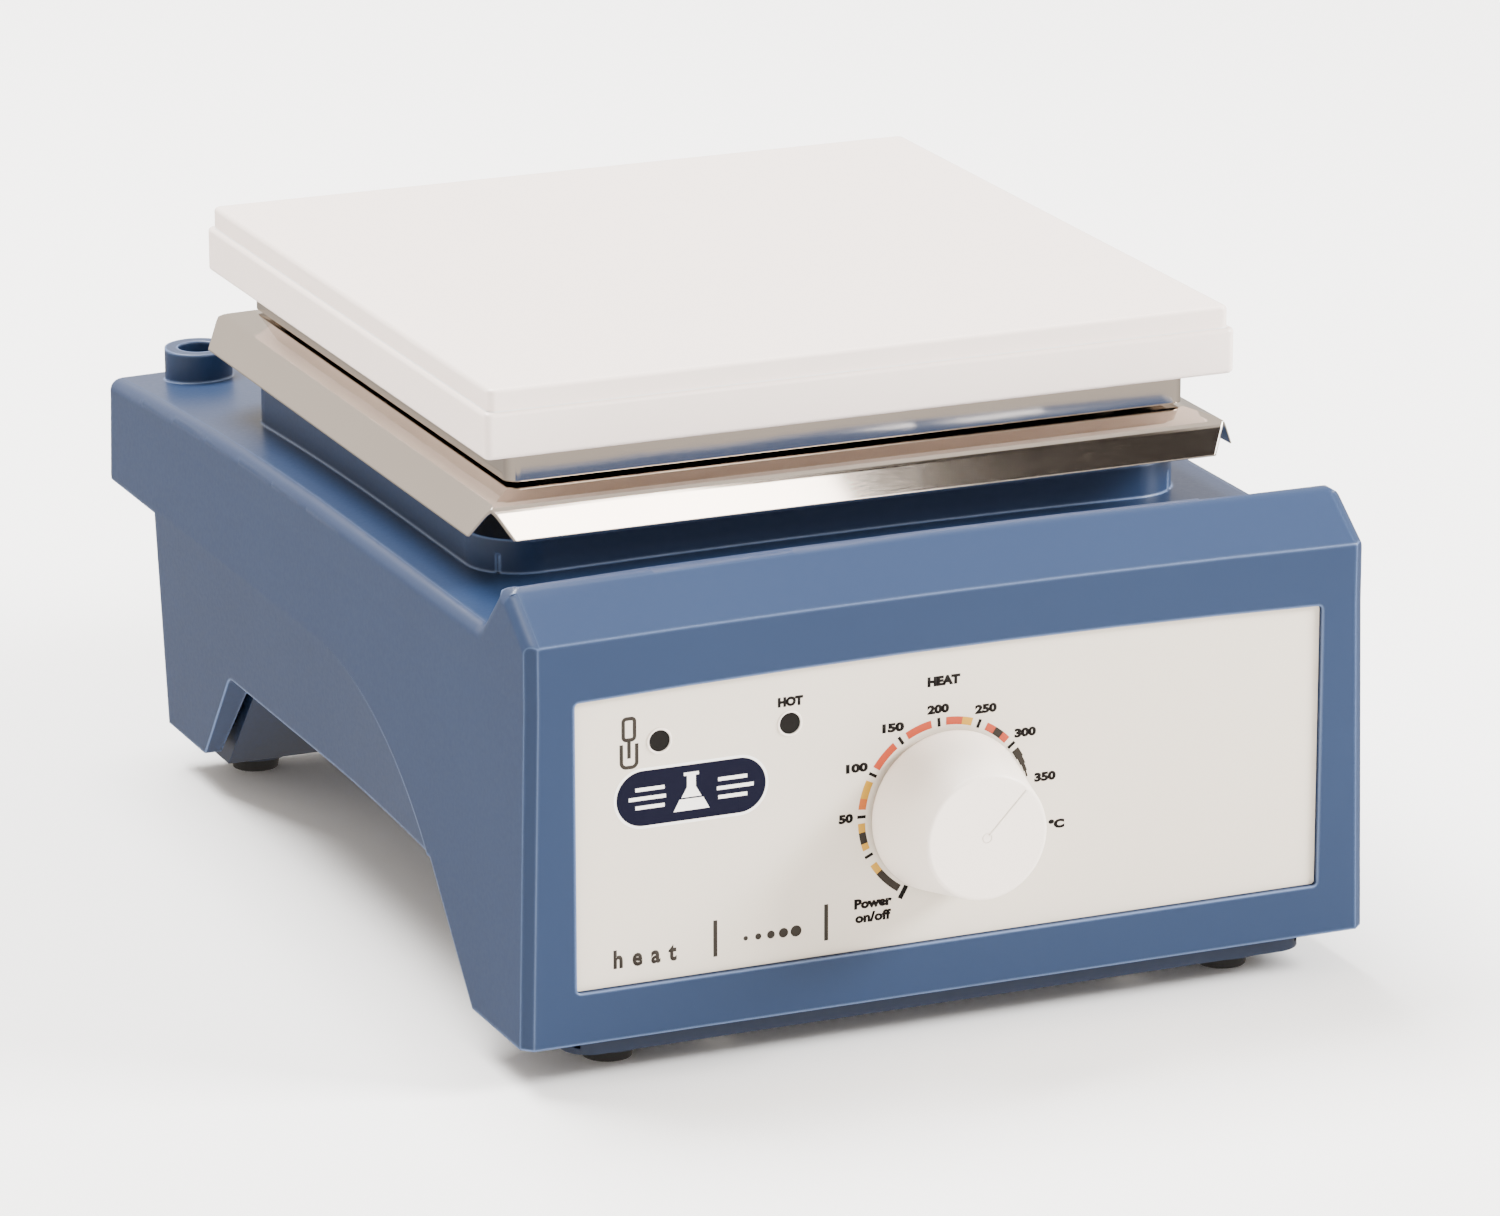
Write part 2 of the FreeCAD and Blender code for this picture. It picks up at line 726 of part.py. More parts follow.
def cut_openings(body):
    """Recess for the control panel, its holes, the stud holes and the inlet's window."""
    face = new_sketch(body, "XZ_Plane", "-(%s)" % FRONT)
    fascia_outline(face)
    feature = pocket(body, face, RECESS)
    reach = value("fascia_width / 2")
    names = edges_of(feature, lambda e: along(e, Y_AXIS)
                     and abs(abs(e.Vertexes[0].X) - reach) < 1e-3
                     and max(v.Y for v in e.Vertexes) < value(FRONT) + 2)
    soften(body, "Fillet", feature, names, "fascia_corner")
    holes = new_sketch(body, "XZ_Plane", "-(%s)" % FRONT)
    panel_holes(holes, "clearance")
    pocket(body, holes, "front_wall + 1")
    studs = new_sketch(body, "XY_Plane", "plinth_height")
    for side, sign in SIDES:
        for depth in ("-", "+"):
            circle(studs, sign + "stud_offset", "%s %s stud_offset" % (PLATE_Y, depth),
                   "stud_radius + clearance")
    pocket(body, studs, "roof_wall + 1")
    backing = new_sketch(body, "XZ_Plane", "-(%s - roof_wall)" % REAR_WALL)
    inlet_seat(backing, "side_wall / 3")
    pad(body, backing, "roof_wall + 0.13 * rear_wall_lean", back=True)
    seat = new_sketch(body, "XZ_Plane", "-(%s)" % REAR_WALL)
    inlet_seat(seat, "clearance")
    pocket(body, seat, "rear_wall_lean + 1")
    window = new_sketch(body, "XZ_Plane", "-(%s)" % REAR_WALL)
    rectangle(window, "-(inlet_width / 2 + clearance)", "inlet_z - inlet_height / 2 - clearance",
              "inlet_width / 2 + clearance", "inlet_z + inlet_height / 2 + clearance")
    for side, sign in SIDES:
        circle(window, sign + "inlet_screw_pitch / 2", "inlet_z", "inlet_screw_radius + clearance")
    pocket(body, window, "roof_wall + 1", back=True)


def make_housing():
    body = new_body("housing")
    shape_outside(body)
    round_shoulders(body)
    taper_sides(body)
    hollow_out(body)
    open_arches(body)
    raise_plinth(body)
    add_posts(body)
    cut_openings(body)
    return body


# Base pan and feet

def pan_line(rise, trim):
    """Lower line of the pan from front to rear, lifted by a rise and shortened by a trim."""
    return [
        (PAN_FRONT + " + " + trim, "pan_height + " + rise),
        (FRONT + " + pan_front_foot + 0.41 * (%s)" % rise, "pan_height + " + rise),
        (FRONT + " + pan_front_top + 0.41 * (%s)" % rise, "pan_ceiling + " + rise),
        (FRONT + " + pan_rear_top - 0.41 * (%s)" % rise, "pan_ceiling + " + rise),
        (FRONT + " + pan_rear_foot - 0.41 * (%s)" % rise, "pan_height + " + rise),
        (PAN_REAR + " - " + trim, "pan_height + " + rise),
    ]


FEET = (
    ("foot_front_left", "-foot_x", "foot_front_run", "pad_radius"),
    ("foot_front_right", "foot_x", "foot_front_run", "pad_radius"),
    ("foot_rear_left", "-rear_foot_x", "foot_rear_run", "rear_pad_radius"),
    ("foot_rear_right", "rear_foot_x", "foot_rear_run", "rear_pad_radius"),
)


def make_base_pan():
    body = new_body("base_pan")
    side = new_sketch(body, "YZ_Plane")
    outline(side, pan_line("0", "0") + pan_line("pan_flange", "0")[::-1])
    feature = pad(body, side, "pan_width", both=True)
    corners = new_sketch(body, "XY_Plane", "pan_height")
    for sign in (1, -1):
        x = "%d * pan_width / 2" % sign
        inner_x = "%d * (pan_width / 2 - pan_corner)" % sign
        for end, way in ((PAN_FRONT, 1), (PAN_REAR, -1)):
            radius = "%d * pan_corner" % (sign * way)
            outline(corners, [(x, end), (x, "%s + %d * pan_corner" % (end, way), radius),
                              (inner_x, end)])
    pocket(body, corners, "pan_flange", back=True)
    inside = new_sketch(body, "YZ_Plane")
    outline(inside, pan_line("pan_wall", "pan_wall") + pan_line("pan_flange + 1", "pan_wall")[::-1])
    pocket(body, inside, "pan_width - 2 * pan_wall", both=True)
    pads = new_sketch(body, "XY_Plane", "pan_height - pad_drop")
    for name, across, run, reach in FEET:
        circle(pads, across, FRONT + " + " + run, reach)
    pad(body, pads, "pad_drop + pan_wall / 2")
    holes = new_sketch(body, "XY_Plane", "pan_height - pad_drop")
    for name, across, run, reach in FEET:
        circle(holes, across, FRONT + " + " + run, "foot_stem + clearance")
    for run in ("post_front_run", "post_rear_run"):
        for label, sign in SIDES:
            circle(holes, sign + "post_x", FRONT + " + " + run, "pan_screw_radius + clearance")
    pocket(body, holes, "pad_drop + pan_wall + 1", back=True)
    return body


def make_foot(name, across, run):
    """Rubber foot with a push-in stem."""
    depth = FRONT + " + " + run
    seat = "(pan_height - pad_drop)"
    cone = doc.addObject("Part::Cone", name + "_cone")
    fixed(cone, Radius1="foot_contact", Radius2="foot_radius", Height=seat)
    place(cone, across, depth, "0")
    stem = rod(name + "_stem", (across, depth, seat), "foot_stem", "pad_drop + pan_wall + 1")
    bulb = rod(name + "_bulb", (across, depth, "pan_height + pan_wall + clearance"),
               "foot_bulb", "2")
    return joined(name, [cone, stem, bulb])


def make_pan_screws():
    screws = []
    for run in ("post_front_run", "post_rear_run"):
        for label, sign in SIDES:
            name = "pan_screw_%s_%s" % (run, label)
            at = (sign + "post_x", FRONT + " + " + run)
            head = rod(name + "_head", at + ("pan_height - pan_screw_head_height",),
                       "pan_screw_head", "pan_screw_head_height")
            shank = rod(name + "_shank", at + ("pan_height",), "pan_screw_radius",
                        "pan_screw_length")
            screws.append(joined(name, [head, shank]))
    return group("pan_screws", screws)


# Control panel

def make_fascia():
    body = new_body("fascia_panel")
    face = new_sketch(body, "XZ_Plane", "-(%s + fascia_sink)" % FRONT)
    fascia_outline(face, "fascia_gap")
    feature = pad(body, face, "fascia_thick", back=True)
    names = edges_of(feature, lambda e: along(e, Y_AXIS))
    soften(body, "Fillet", feature, names, "fascia_corner - fascia_gap")
    holes = new_sketch(body, "XZ_Plane", "-(%s + fascia_sink)" % FRONT)
    panel_holes(holes, "clearance")
    pocket(body, holes, "fascia_thick + 1")
    return body


def make_lamp(name, across):
    """Lamp with a domed lens that fills its hole and a flange behind the wall."""
    lens = rod(name + "_lens", (across, INNER_FRONT + " - front_wall + fascia_sink", "lamp_z"),
               "lamp_radius", "front_wall - fascia_sink", "y")
    flange = rod(name + "_flange", (across, INNER_FRONT, "lamp_z"), "lamp_flange",
                 "lamp_length - front_wall + fascia_sink", "y")
    return joined(name, [lens, flange])


def make_lamp_board():
    depth = INNER_FRONT + " + lamp_length - front_wall + fascia_sink"
    return block("lamp_board", ("board_x - board_width / 2", depth, "lamp_z - board_height / 2"),
                 ("board_width", "board_thick", "board_height"))


def make_regulator():
    """Regulator body behind the wall with a bush through it."""
    half = "regulator_size / 2"
    case = block("regulator_case", ("dial_x - " + half, INNER_FRONT, "dial_z - " + half),
                 ("regulator_size", "regulator_depth", "regulator_size"))
    bush = rod("regulator_bush", ("dial_x", FRONT + " - bush_reach", "dial_z"), "bush_radius",
               "bush_reach + front_wall", "y")
    bore = rod("regulator_bore", ("dial_x", FRONT + " - bush_reach - 1", "dial_z"),
               "spindle_radius + running_gap", "bush_reach + 1 + spindle_depth + clearance", "y")
    return less("energy_regulator", joined("regulator_solid", [case, bush]), [bore])


def make_regulator_nut():
    """Hexagon nut that clamps the regulator and the panel to the wall."""
    start = ("dial_x", FRONT + " + fascia_sink - bush_nut_height", "dial_z")
    nut = hexagon("bush_nut", start, "bush_nut_across", "bush_nut_height", "y")
    hole = rod("bush_nut_hole", start, "bush_radius + running_gap", "bush_nut_height", "y")
    return less("regulator_nut", nut, [hole])


def make_spindle():
    """Regulator spindle; it turns with the knob."""
    return rod("regulator_spindle", ("dial_x", FRONT + " - knob_reach + knob_top + clearance",
                                     "dial_z"), "spindle_radius",
               "knob_reach - knob_top - clearance + spindle_depth", "y")


def make_knob():
    """Turned knob: tapered side, flat face, hollow back with a hub."""
    body = new_body("control_knob")
    half = new_sketch(body, "YZ_Plane", "dial_x")
    face = FRONT + " - knob_reach"
    back = FRONT + " - knob_back"
    top = face + " + knob_top"
    bore = "dial_z + spindle_radius + running_gap / 2"
    shell = "(knob_shell)"
    outline(half, [
        (face, "dial_z"),
        (face, "dial_z + knob_face - knob_edge", "knob_edge"),
        (face + " + knob_edge", "dial_z + knob_face"),
        (back, "dial_z + knob_skirt"),
        (back, "dial_z + knob_skirt - " + shell),
        (top, "dial_z + knob_face - " + shell),
        (top, "dial_z + knob_hub"),
        (FRONT + " - bush_reach - 0.6", "dial_z + knob_hub"),
        (FRONT + " - bush_reach - 0.6", bore),
        (top, bore),
        (top, "dial_z"),
    ])
    axis_line(half, (face, "dial_z"), (top, "dial_z"))
    revolve(body, "Revolution", half, "Axis0", 360.0)
    return body


# Heating plate, from the top down

def make_top_plate():
    """Plate with a stepped edge, hollow below, with bosses for its studs."""
    body = new_body("top_plate")
    for size, low, high in (("plate_rim_size", "plate_base", "plate_step"),
                            ("plate_size", "plate_step", "plate_top")):
        level = new_sketch(body, "XY_Plane", low)
        rectangle(level, "-%s / 2" % size, PLATE_Y + " - %s / 2" % size,
                  "%s / 2" % size, PLATE_Y + " + %s / 2" % size)
        feature = pad(body, level, "%s - %s" % (high, low))
    names = edges_of(feature, lambda e: along(e, Z_AXIS))
    feature = soften(body, "Fillet", feature, names, "plate_corner")
    rims = [value("plate_top"), value("plate_step"), value("plate_base")]
    names = edges_of(feature, lambda e: any(
        all(abs(v.Z - rim) < 1e-6 for v in e.Vertexes) for rim in rims)
        and (abs(e.CenterOfMass.z - value("plate_step")) > 1e-6
             or max(abs(e.Vertexes[0].X), abs(e.Vertexes[0].Y - value(PLATE_Y)))
             > value("plate_size") / 2 + 0.1))
    soften(body, "Fillet", feature, names, "plate_edge")
    under = new_sketch(body, "XY_Plane", "plate_base")
    half = "(plate_size / 2 - plate_wall)"
    rectangle(under, "-" + half, PLATE_Y + " - " + half, half, PLATE_Y + " + " + half)
    pocket(body, under, "plate_top - plate_skin - plate_base", back=True)
    bosses = new_sketch(body, "XY_Plane", "plate_base")
    threads = new_sketch(body, "XY_Plane", "plate_base")
    for label, sign in SIDES:
        for depth in ("-", "+"):
            at = (sign + "stud_offset", "%s %s stud_offset" % (PLATE_Y, depth))
            circle(bosses, at[0], at[1], "stud_boss")
            circle(threads, at[0], at[1], "stud_radius + running_gap")
    pad(body, bosses, "plate_top - plate_skin - plate_base")
    pocket(body, threads, "stud_engage + clearance", back=True)
    return body


def make_element_pan():
    """Open steel box that holds the insulation against the plate."""
    body = new_body("element_pan")
    half = "box_size / 2"
    ground = new_sketch(body, "XY_Plane", "box_base")
    rectangle(ground, "-" + half, PLATE_Y + " - " + half, half, PLATE_Y + " + " + half)
    feature = pad(body, ground, "plate_base - box_base")
    feature = soften(body, "Fillet", feature, edges_of(feature, lambda e: along(e, Z_AXIS)),
                     "box_corner")
    inner = new_sketch(body, "XY_Plane", "plate_base")
    inset = "(box_size / 2 - box_wall)"
    rectangle(inner, "-" + inset, PLATE_Y + " - " + inset, inset, PLATE_Y + " + " + inset)
    feature = pocket(body, inner, "plate_base - box_base - box_wall")
    limit = value(inset)
    names = edges_of(feature, lambda e: along(e, Z_AXIS)
                     and abs(abs(e.Vertexes[0].X) - limit) < 1e-6)
    soften(body, "Fillet", feature, names, "box_corner - box_wall")
    holes = new_sketch(body, "XY_Plane", "box_base")
    for label, sign in SIDES:
        for depth in ("-", "+"):
            circle(holes, sign + "stud_offset", "%s %s stud_offset" % (PLATE_Y, depth),
                   "stud_radius + clearance")
    pocket(body, holes, "box_wall + 1", back=True)
    return body


def make_insulation():
    """Board that fills the steel box, with holes for the studs."""
    half = "(box_size / 2 - box_wall - board_margin - box_corner / 2)"
    board = block("board_blank", ("-" + half, PLATE_Y + " - " + half, "box_base + box_wall"),
                  ("2 * " + half, "2 * " + half, "plate_base - box_base - box_wall - board_drop"))
    holes = []
    for label, sign in SIDES:
        for depth, word in (("-", "front"), ("+", "rear")):
            holes.append(rod("board_hole_%s_%s" % (word, label),
                             (sign + "stud_offset", "%s %s stud_offset" % (PLATE_Y, depth),
                              "box_base"), "stud_radius + 0.5", "plate_base - box_base"))
    return less("insulation_board", board, holes)


def make_element():
    """Sheathed element bent to and fro under the plate."""
    level = "plate_top - plate_skin - rod_radius - clearance"
    runs = 4
    pieces = []
    for number in range(runs):
        across = "%.1f * rod_pitch" % (number - (runs - 1) / 2)
        pieces.append(rod("element_run_%d" % number,
                          (across, PLATE_Y + " - rod_length / 2", level), "rod_radius",
                          "rod_length", "y"))
        if number + 1 < runs:
            bend = doc.addObject("Part::Torus", "element_bend_%d" % number)
            rear = number % 2 == 0
            bend.Placement = FreeCAD.Placement(V(), FreeCAD.Rotation(Z_AXIS, 0 if rear else 180))
            bend.Angle3 = 180
            fixed(bend, Radius1="rod_pitch / 2", Radius2="rod_radius")
            sign = "+" if rear else "-"
            place(bend, across + " + rod_pitch / 2", "%s %s rod_length / 2" % (PLATE_Y, sign), level)
            pieces.append(bend)
    return joined("heating_element", pieces)


BEND_STEPS = 4


def make_deflector():
    """Folded sheet: flat tray, a shallow slope all round and four skirts with open corners."""
    body = new_body("spill_deflector")
    slope = "atan((tray_height - bend_height) / (bend_half - tray_half))"
    fall = "atan((bend_height - skirt_height) / (skirt_half - bend_half))"
    reach = "(bend_round * tan((%s - %s) / 2))" % (fall, slope)
    centre_half = "(bend_half - %s * cos(%s) - bend_round * sin(%s))" % (reach, slope, slope)
    centre_height = "(bend_height + %s * sin(%s) - bend_round * cos(%s))" % (reach, slope, slope)
    levels = [("tray_half", "tray_height")]
    for part in range(BEND_STEPS + 1):
        angle = "(%s + (%s - %s) * %d / %d)" % (slope, fall, slope, part, BEND_STEPS)
        levels.append(("(%s + bend_round * sin(%s))" % (centre_half, angle),
                       "(%s + bend_round * cos(%s))" % (centre_height, angle)))
    levels.append(("skirt_half", "skirt_height"))
    for kind, drop in (("AdditiveLoft", "0"), ("SubtractiveLoft", "sheet")):
        sections = []
        for half, height in levels:
            level = new_sketch(body, "XY_Plane", "%s - %s" % (height, drop))
            rectangle(level, "-" + half, PLATE_Y + " - " + half, half, PLATE_Y + " + " + half)
            sections.append(level)
        loft = body.newObject("PartDesign::" + kind, "loft")
        loft.Profile = sections[0]
        loft.Sections = sections[1:]
        loft.Ruled = True
        doc.recompute()
    notch = new_sketch(body, "XY_Plane", "tray_height")
    far = "(skirt_half + 2)"
    slope = "(bend_half - skirt_length_half) / (skirt_half - bend_half) * 2"
    low = "(skirt_length_half - %s)" % slope
    for label, sign in SIDES:
        for way in ("-", "+"):
            outline(notch, [
                ("%s bend_half" % sign, "%s %s bend_half" % (PLATE_Y, way)),
                ("%s%s" % (sign, low), "%s %s %s" % (PLATE_Y, way, far)),
                ("%s%s" % (sign, far), "%s %s %s" % (PLATE_Y, way, far)),
                ("%s%s" % (sign, far), "%s %s %s" % (PLATE_Y, way, low))])
    pocket(body, notch, "tray_height - skirt_height + sheet + 1")
    holes = new_sketch(body, "XY_Plane", "tray_height")
    for label, sign in SIDES:
        for way in ("-", "+"):
            circle(holes, sign + "stud_offset", "%s %s stud_offset" % (PLATE_Y, way),
                   "stud_radius + clearance")
    pocket(body, holes, "sheet + 1")
    return body


def make_fastening():
    """Studs, spacer tubes and nuts that carry the plate on the plinth."""
    studs = []
    spacers = []
    nuts = []
    under = "plinth_height - roof_wall"
    for label, sign in SIDES:
        for way, word in (("-", "front"), ("+", "rear")):
            tag = "_%s_%s" % (word, label)
            at = (sign + "stud_offset", "%s %s stud_offset" % (PLATE_Y, way))
            tail = under + " - nut_height - stud_tail"
            studs.append(rod("stud" + tag, at + (tail,), "stud_radius",
                             "plate_base + stud_engage - (%s)" % tail))
            tube = rod("spacer_tube" + tag, at + ("plinth_height",), "spacer_radius",
                       "tray_height - sheet - plinth_height")
            bore = rod("spacer_bore" + tag, at + ("plinth_height",), "stud_radius + clearance",
                       "tray_height - sheet - plinth_height")
            spacers.append(less("spacer" + tag, tube, [bore]))
            nut = hexagon("nut_blank" + tag, at + (under + " - nut_height",), "nut_across",
                          "nut_height")
            hole = rod("nut_hole" + tag, at + (under + " - nut_height",),
                       "stud_radius + running_gap", "nut_height")
            nuts.append(less("nut" + tag, nut, [hole]))
    return [group("plate_studs", studs), group("plate_spacers", spacers),
            group("plate_nuts", nuts)]


# Parts inside the housing

def make_hot_switch():
    """Disc thermostat under the plinth's roof."""
    top = "plinth_height - roof_wall"
    can = rod("switch_can", ("0", PLATE_Y, top + " - switch_height"), "switch_radius",
              "switch_height")
    tabs = block("switch_tabs", ("-switch_radius * 0.6", PLATE_Y + " - 3",
                                 top + " - switch_height - 6"),
                 ("switch_radius * 1.2", "6", "6"))
    return joined("hot_switch", [can, tabs])


def make_terminal_block():
    """Screw terminal block on the pan's raised middle."""
    floor = "pan_ceiling + pan_wall"
    body = block("terminal_body", ("12", PLATE_Y + " + 18", floor),
                 ("terminal_width", "terminal_depth", "terminal_height"))
    wells = []
    for number in range(3):
        wells.append(rod("terminal_well_%d" % number,
                         ("12 + terminal_width * %.4f" % ((number + 0.5) / 3),
                          PLATE_Y + " + 18 + terminal_depth / 2",
                          floor + " + terminal_height / 2"), "2.2", "terminal_height"))
    return less("terminal_block", body, wells)


def make_earth_stud():
    """Earth stud with its nut on the pan."""
    floor = "pan_ceiling + pan_wall"
    at = ("-20", PLATE_Y + " + 24")
    stud = rod("earth_rod", at + (floor,), "earth_radius", "earth_length")
    nut = hexagon("earth_nut", at + (floor,), "7", "3.2")
    return joined("earth_stud", [stud, nut])


def make_inlet():
    """Appliance inlet: flanged moulding with a socket for three pins."""
    face = REAR_WALL
    flange = block("inlet_flange_block",
                   ("-inlet_flange_width / 2", face, "inlet_z - inlet_flange_height / 2"),
                   ("inlet_flange_width", "inlet_flange", "inlet_flange_height"))
    case = block("inlet_case", ("-inlet_width / 2", face + " - inlet_depth",
                                "inlet_z - inlet_height / 2"),
                 ("inlet_width", "inlet_depth", "inlet_height"))
    mouth = block("inlet_mouth",
                  ("-inlet_mouth_width / 2", face + " + inlet_flange - inlet_mouth_depth",
                   "inlet_z - inlet_mouth_height / 2"),
                  ("inlet_mouth_width", "inlet_mouth_depth", "inlet_mouth_height"))
    holes = []
    for label, sign in SIDES:
        holes.append(rod("inlet_hole_" + label, (sign + "inlet_screw_pitch / 2", face, "inlet_z"),
                         "inlet_screw_radius + clearance", "inlet_flange", "y"))
    return less("mains_inlet", joined("inlet_solid", [flange, case]), [mouth] + holes)


def make_inlet_pins():
    """Three flat pins, the earth pin set lower."""
    pins = []
    start = REAR_WALL + " + inlet_flange - inlet_mouth_depth"
    for number, (across, up) in enumerate((("-pin_pitch", "2"), ("0", "-2"), ("pin_pitch", "2"))):
        pins.append(block("inlet_pin_%d" % number,
                          (across + " - 1", start, "inlet_z + %s - 2" % up),
                          ("2", "pin_length", "4")))
    return group("inlet_pins", pins)


def make_inlet_screws():
    screws = []
    for label, sign in SIDES:
        at = (sign + "inlet_screw_pitch / 2",)
        shank = rod("inlet_shank_" + label, at + (REAR_WALL + " - roof_wall", "inlet_z"),
                    "inlet_screw_radius", "roof_wall + inlet_flange", "y")
        head = rod("inlet_head_" + label, at + (REAR_WALL + " + inlet_flange", "inlet_z"),
                   "2 * inlet_screw_radius", "1.6", "y")
        screws.append(joined("inlet_screw_" + label, [shank, head]))
    return group("inlet_screws", screws)


def build():
    """All pieces of the hot plate."""
    pieces = [make_housing(), make_base_pan(), make_pan_screws()]
    pieces += [make_foot(*foot[:3]) for foot in FEET]
    pieces += [make_fascia(), make_lamp("power_lamp", "power_lamp_x"),
               make_lamp("hot_lamp", "hot_lamp_x"), make_lamp_board()]
    pieces += [make_regulator(), make_regulator_nut(), make_spindle(), make_knob()]
    pieces += [make_top_plate(), make_element_pan(), make_insulation(), make_element()]
    pieces += [make_deflector()] + make_fastening()
    pieces += [make_hot_switch(), make_terminal_block(), make_earth_stud()]
    pieces += [make_inlet(), make_inlet_pins(), make_inlet_screws()]
    return pieces


def export(pieces):
    """Checks every object, then writes one file for each piece."""
    doc.recompute()
    for obj in doc.Objects:
        if "Invalid" in obj.State or "Error" in obj.State:
            raise ValueError("failed: %s (%s)" % (obj.Name, obj.Label))
    for piece in pieces:
        if piece.Shape.isNull() or not piece.Shape.isValid():
            raise ValueError("bad shape: " + piece.Name)
    os.makedirs("parts", exist_ok=True)
    for piece in pieces:
        piece.Label = piece.Name
        piece.Shape.exportStep("parts/%s.step" % piece.Name)
        box = piece.Shape.BoundBox
        print("%-18s %d solid(s) %10.1f mm3  x %.1f..%.1f  y %.1f..%.1f  z %.1f..%.1f" % (
            piece.Name, len(piece.Shape.Solids), piece.Shape.Volume,
            box.XMin, box.XMax, box.YMin, box.YMax, box.ZMin, box.ZMax))


export(build())
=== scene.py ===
import json
import logging
import math
from collections.abc import Callable
from dataclasses import dataclass, field
from enum import Enum

import bpy
from mathutils import Matrix, Vector


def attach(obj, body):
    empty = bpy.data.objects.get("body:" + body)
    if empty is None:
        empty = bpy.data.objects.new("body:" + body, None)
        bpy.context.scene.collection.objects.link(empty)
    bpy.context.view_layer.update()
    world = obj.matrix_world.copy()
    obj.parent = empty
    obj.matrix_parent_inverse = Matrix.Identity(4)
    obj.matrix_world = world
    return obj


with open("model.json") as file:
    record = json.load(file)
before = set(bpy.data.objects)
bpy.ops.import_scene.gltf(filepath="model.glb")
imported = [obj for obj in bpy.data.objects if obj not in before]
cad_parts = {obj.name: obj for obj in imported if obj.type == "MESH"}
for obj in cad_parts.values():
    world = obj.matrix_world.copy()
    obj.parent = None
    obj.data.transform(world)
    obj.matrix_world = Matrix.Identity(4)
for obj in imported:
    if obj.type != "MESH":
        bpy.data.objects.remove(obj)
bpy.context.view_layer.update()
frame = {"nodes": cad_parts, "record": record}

logging.basicConfig(level=logging.INFO, format="%(name)s: %(message)s")
log = logging.getLogger("hot_plate")

MM = 0.001

# Places in mm: the panel's face, the middle of the dial and the knob's face.
PANEL_FACE = -105.9
DIAL = (-1.5, 43.5)
KNOB_FACE = -124.1
INK = 0.03
# A number of the dial: its width and height in mm, and its weight.
NUMBER = (4.4, 1.8, 0.068)

# Sockets of a colour mix node: its two colours and its result.
MIX_FIRST, MIX_SECOND, MIX_RESULT = 6, 7, 2
# Cosine of the turn at an edge where its painted highlight starts, and where it is full.
EDGE_HIGHLIGHT_START, EDGE_HIGHLIGHT_FULL = 0.995, 0.88


class Body(Enum):
    """Moving bodies of the unit."""

    UNIT = "unit"
    KNOB = "knob"


class Ink(Enum):
    """Printing inks of the panel, by the name of their finish."""

    DARK = "ink_dark"
    BLACK = "ink_black"
    NAVY = "ink_navy"
    WHITE = "ink_white"
    YELLOW = "ink_yellow"
    ORANGE = "ink_orange"
    RED = "ink_red"


# Colour and node helpers

def linear(code: str) -> tuple[float, float, float, float]:
    """Linear colour of an sRGB hex value.

    Args:
        code: six hex digits, with or without a leading hash.

    Returns:
        Red, green, blue and alpha for a shader socket.
    """
    code = code.lstrip("#")
    parts = [int(code[i:i + 2], 16) / 255 for i in (0, 2, 4)]
    flat = [c / 12.92 if c <= 0.04045 else ((c + 0.055) / 1.055) ** 2.4 for c in parts]
    return (flat[0], flat[1], flat[2], 1.0)


def add_node(tree: bpy.types.NodeTree, kind: str, values: dict | None = None,
             links: dict | None = None, **settings: object) -> bpy.types.Node:
    """Adds one node with its settings, socket values and incoming links.

    Args:
        tree: node tree that gets the node.
        kind: node type, such as ShaderNodeTexNoise.
        values: numbers or colours for input sockets, by name or index.
        links: output sockets that feed input sockets, by name or index.
        settings: properties of the node itself.

    Returns:
        The new node.
    """
    made = tree.nodes.new(kind)
    for key, setting in settings.items():
        setattr(made, key, setting)
    for key, number in (values or {}).items():
        made.inputs[key].default_value = number
    for key, source in (links or {}).items():
        tree.links.new(source, made.inputs[key])
    return made


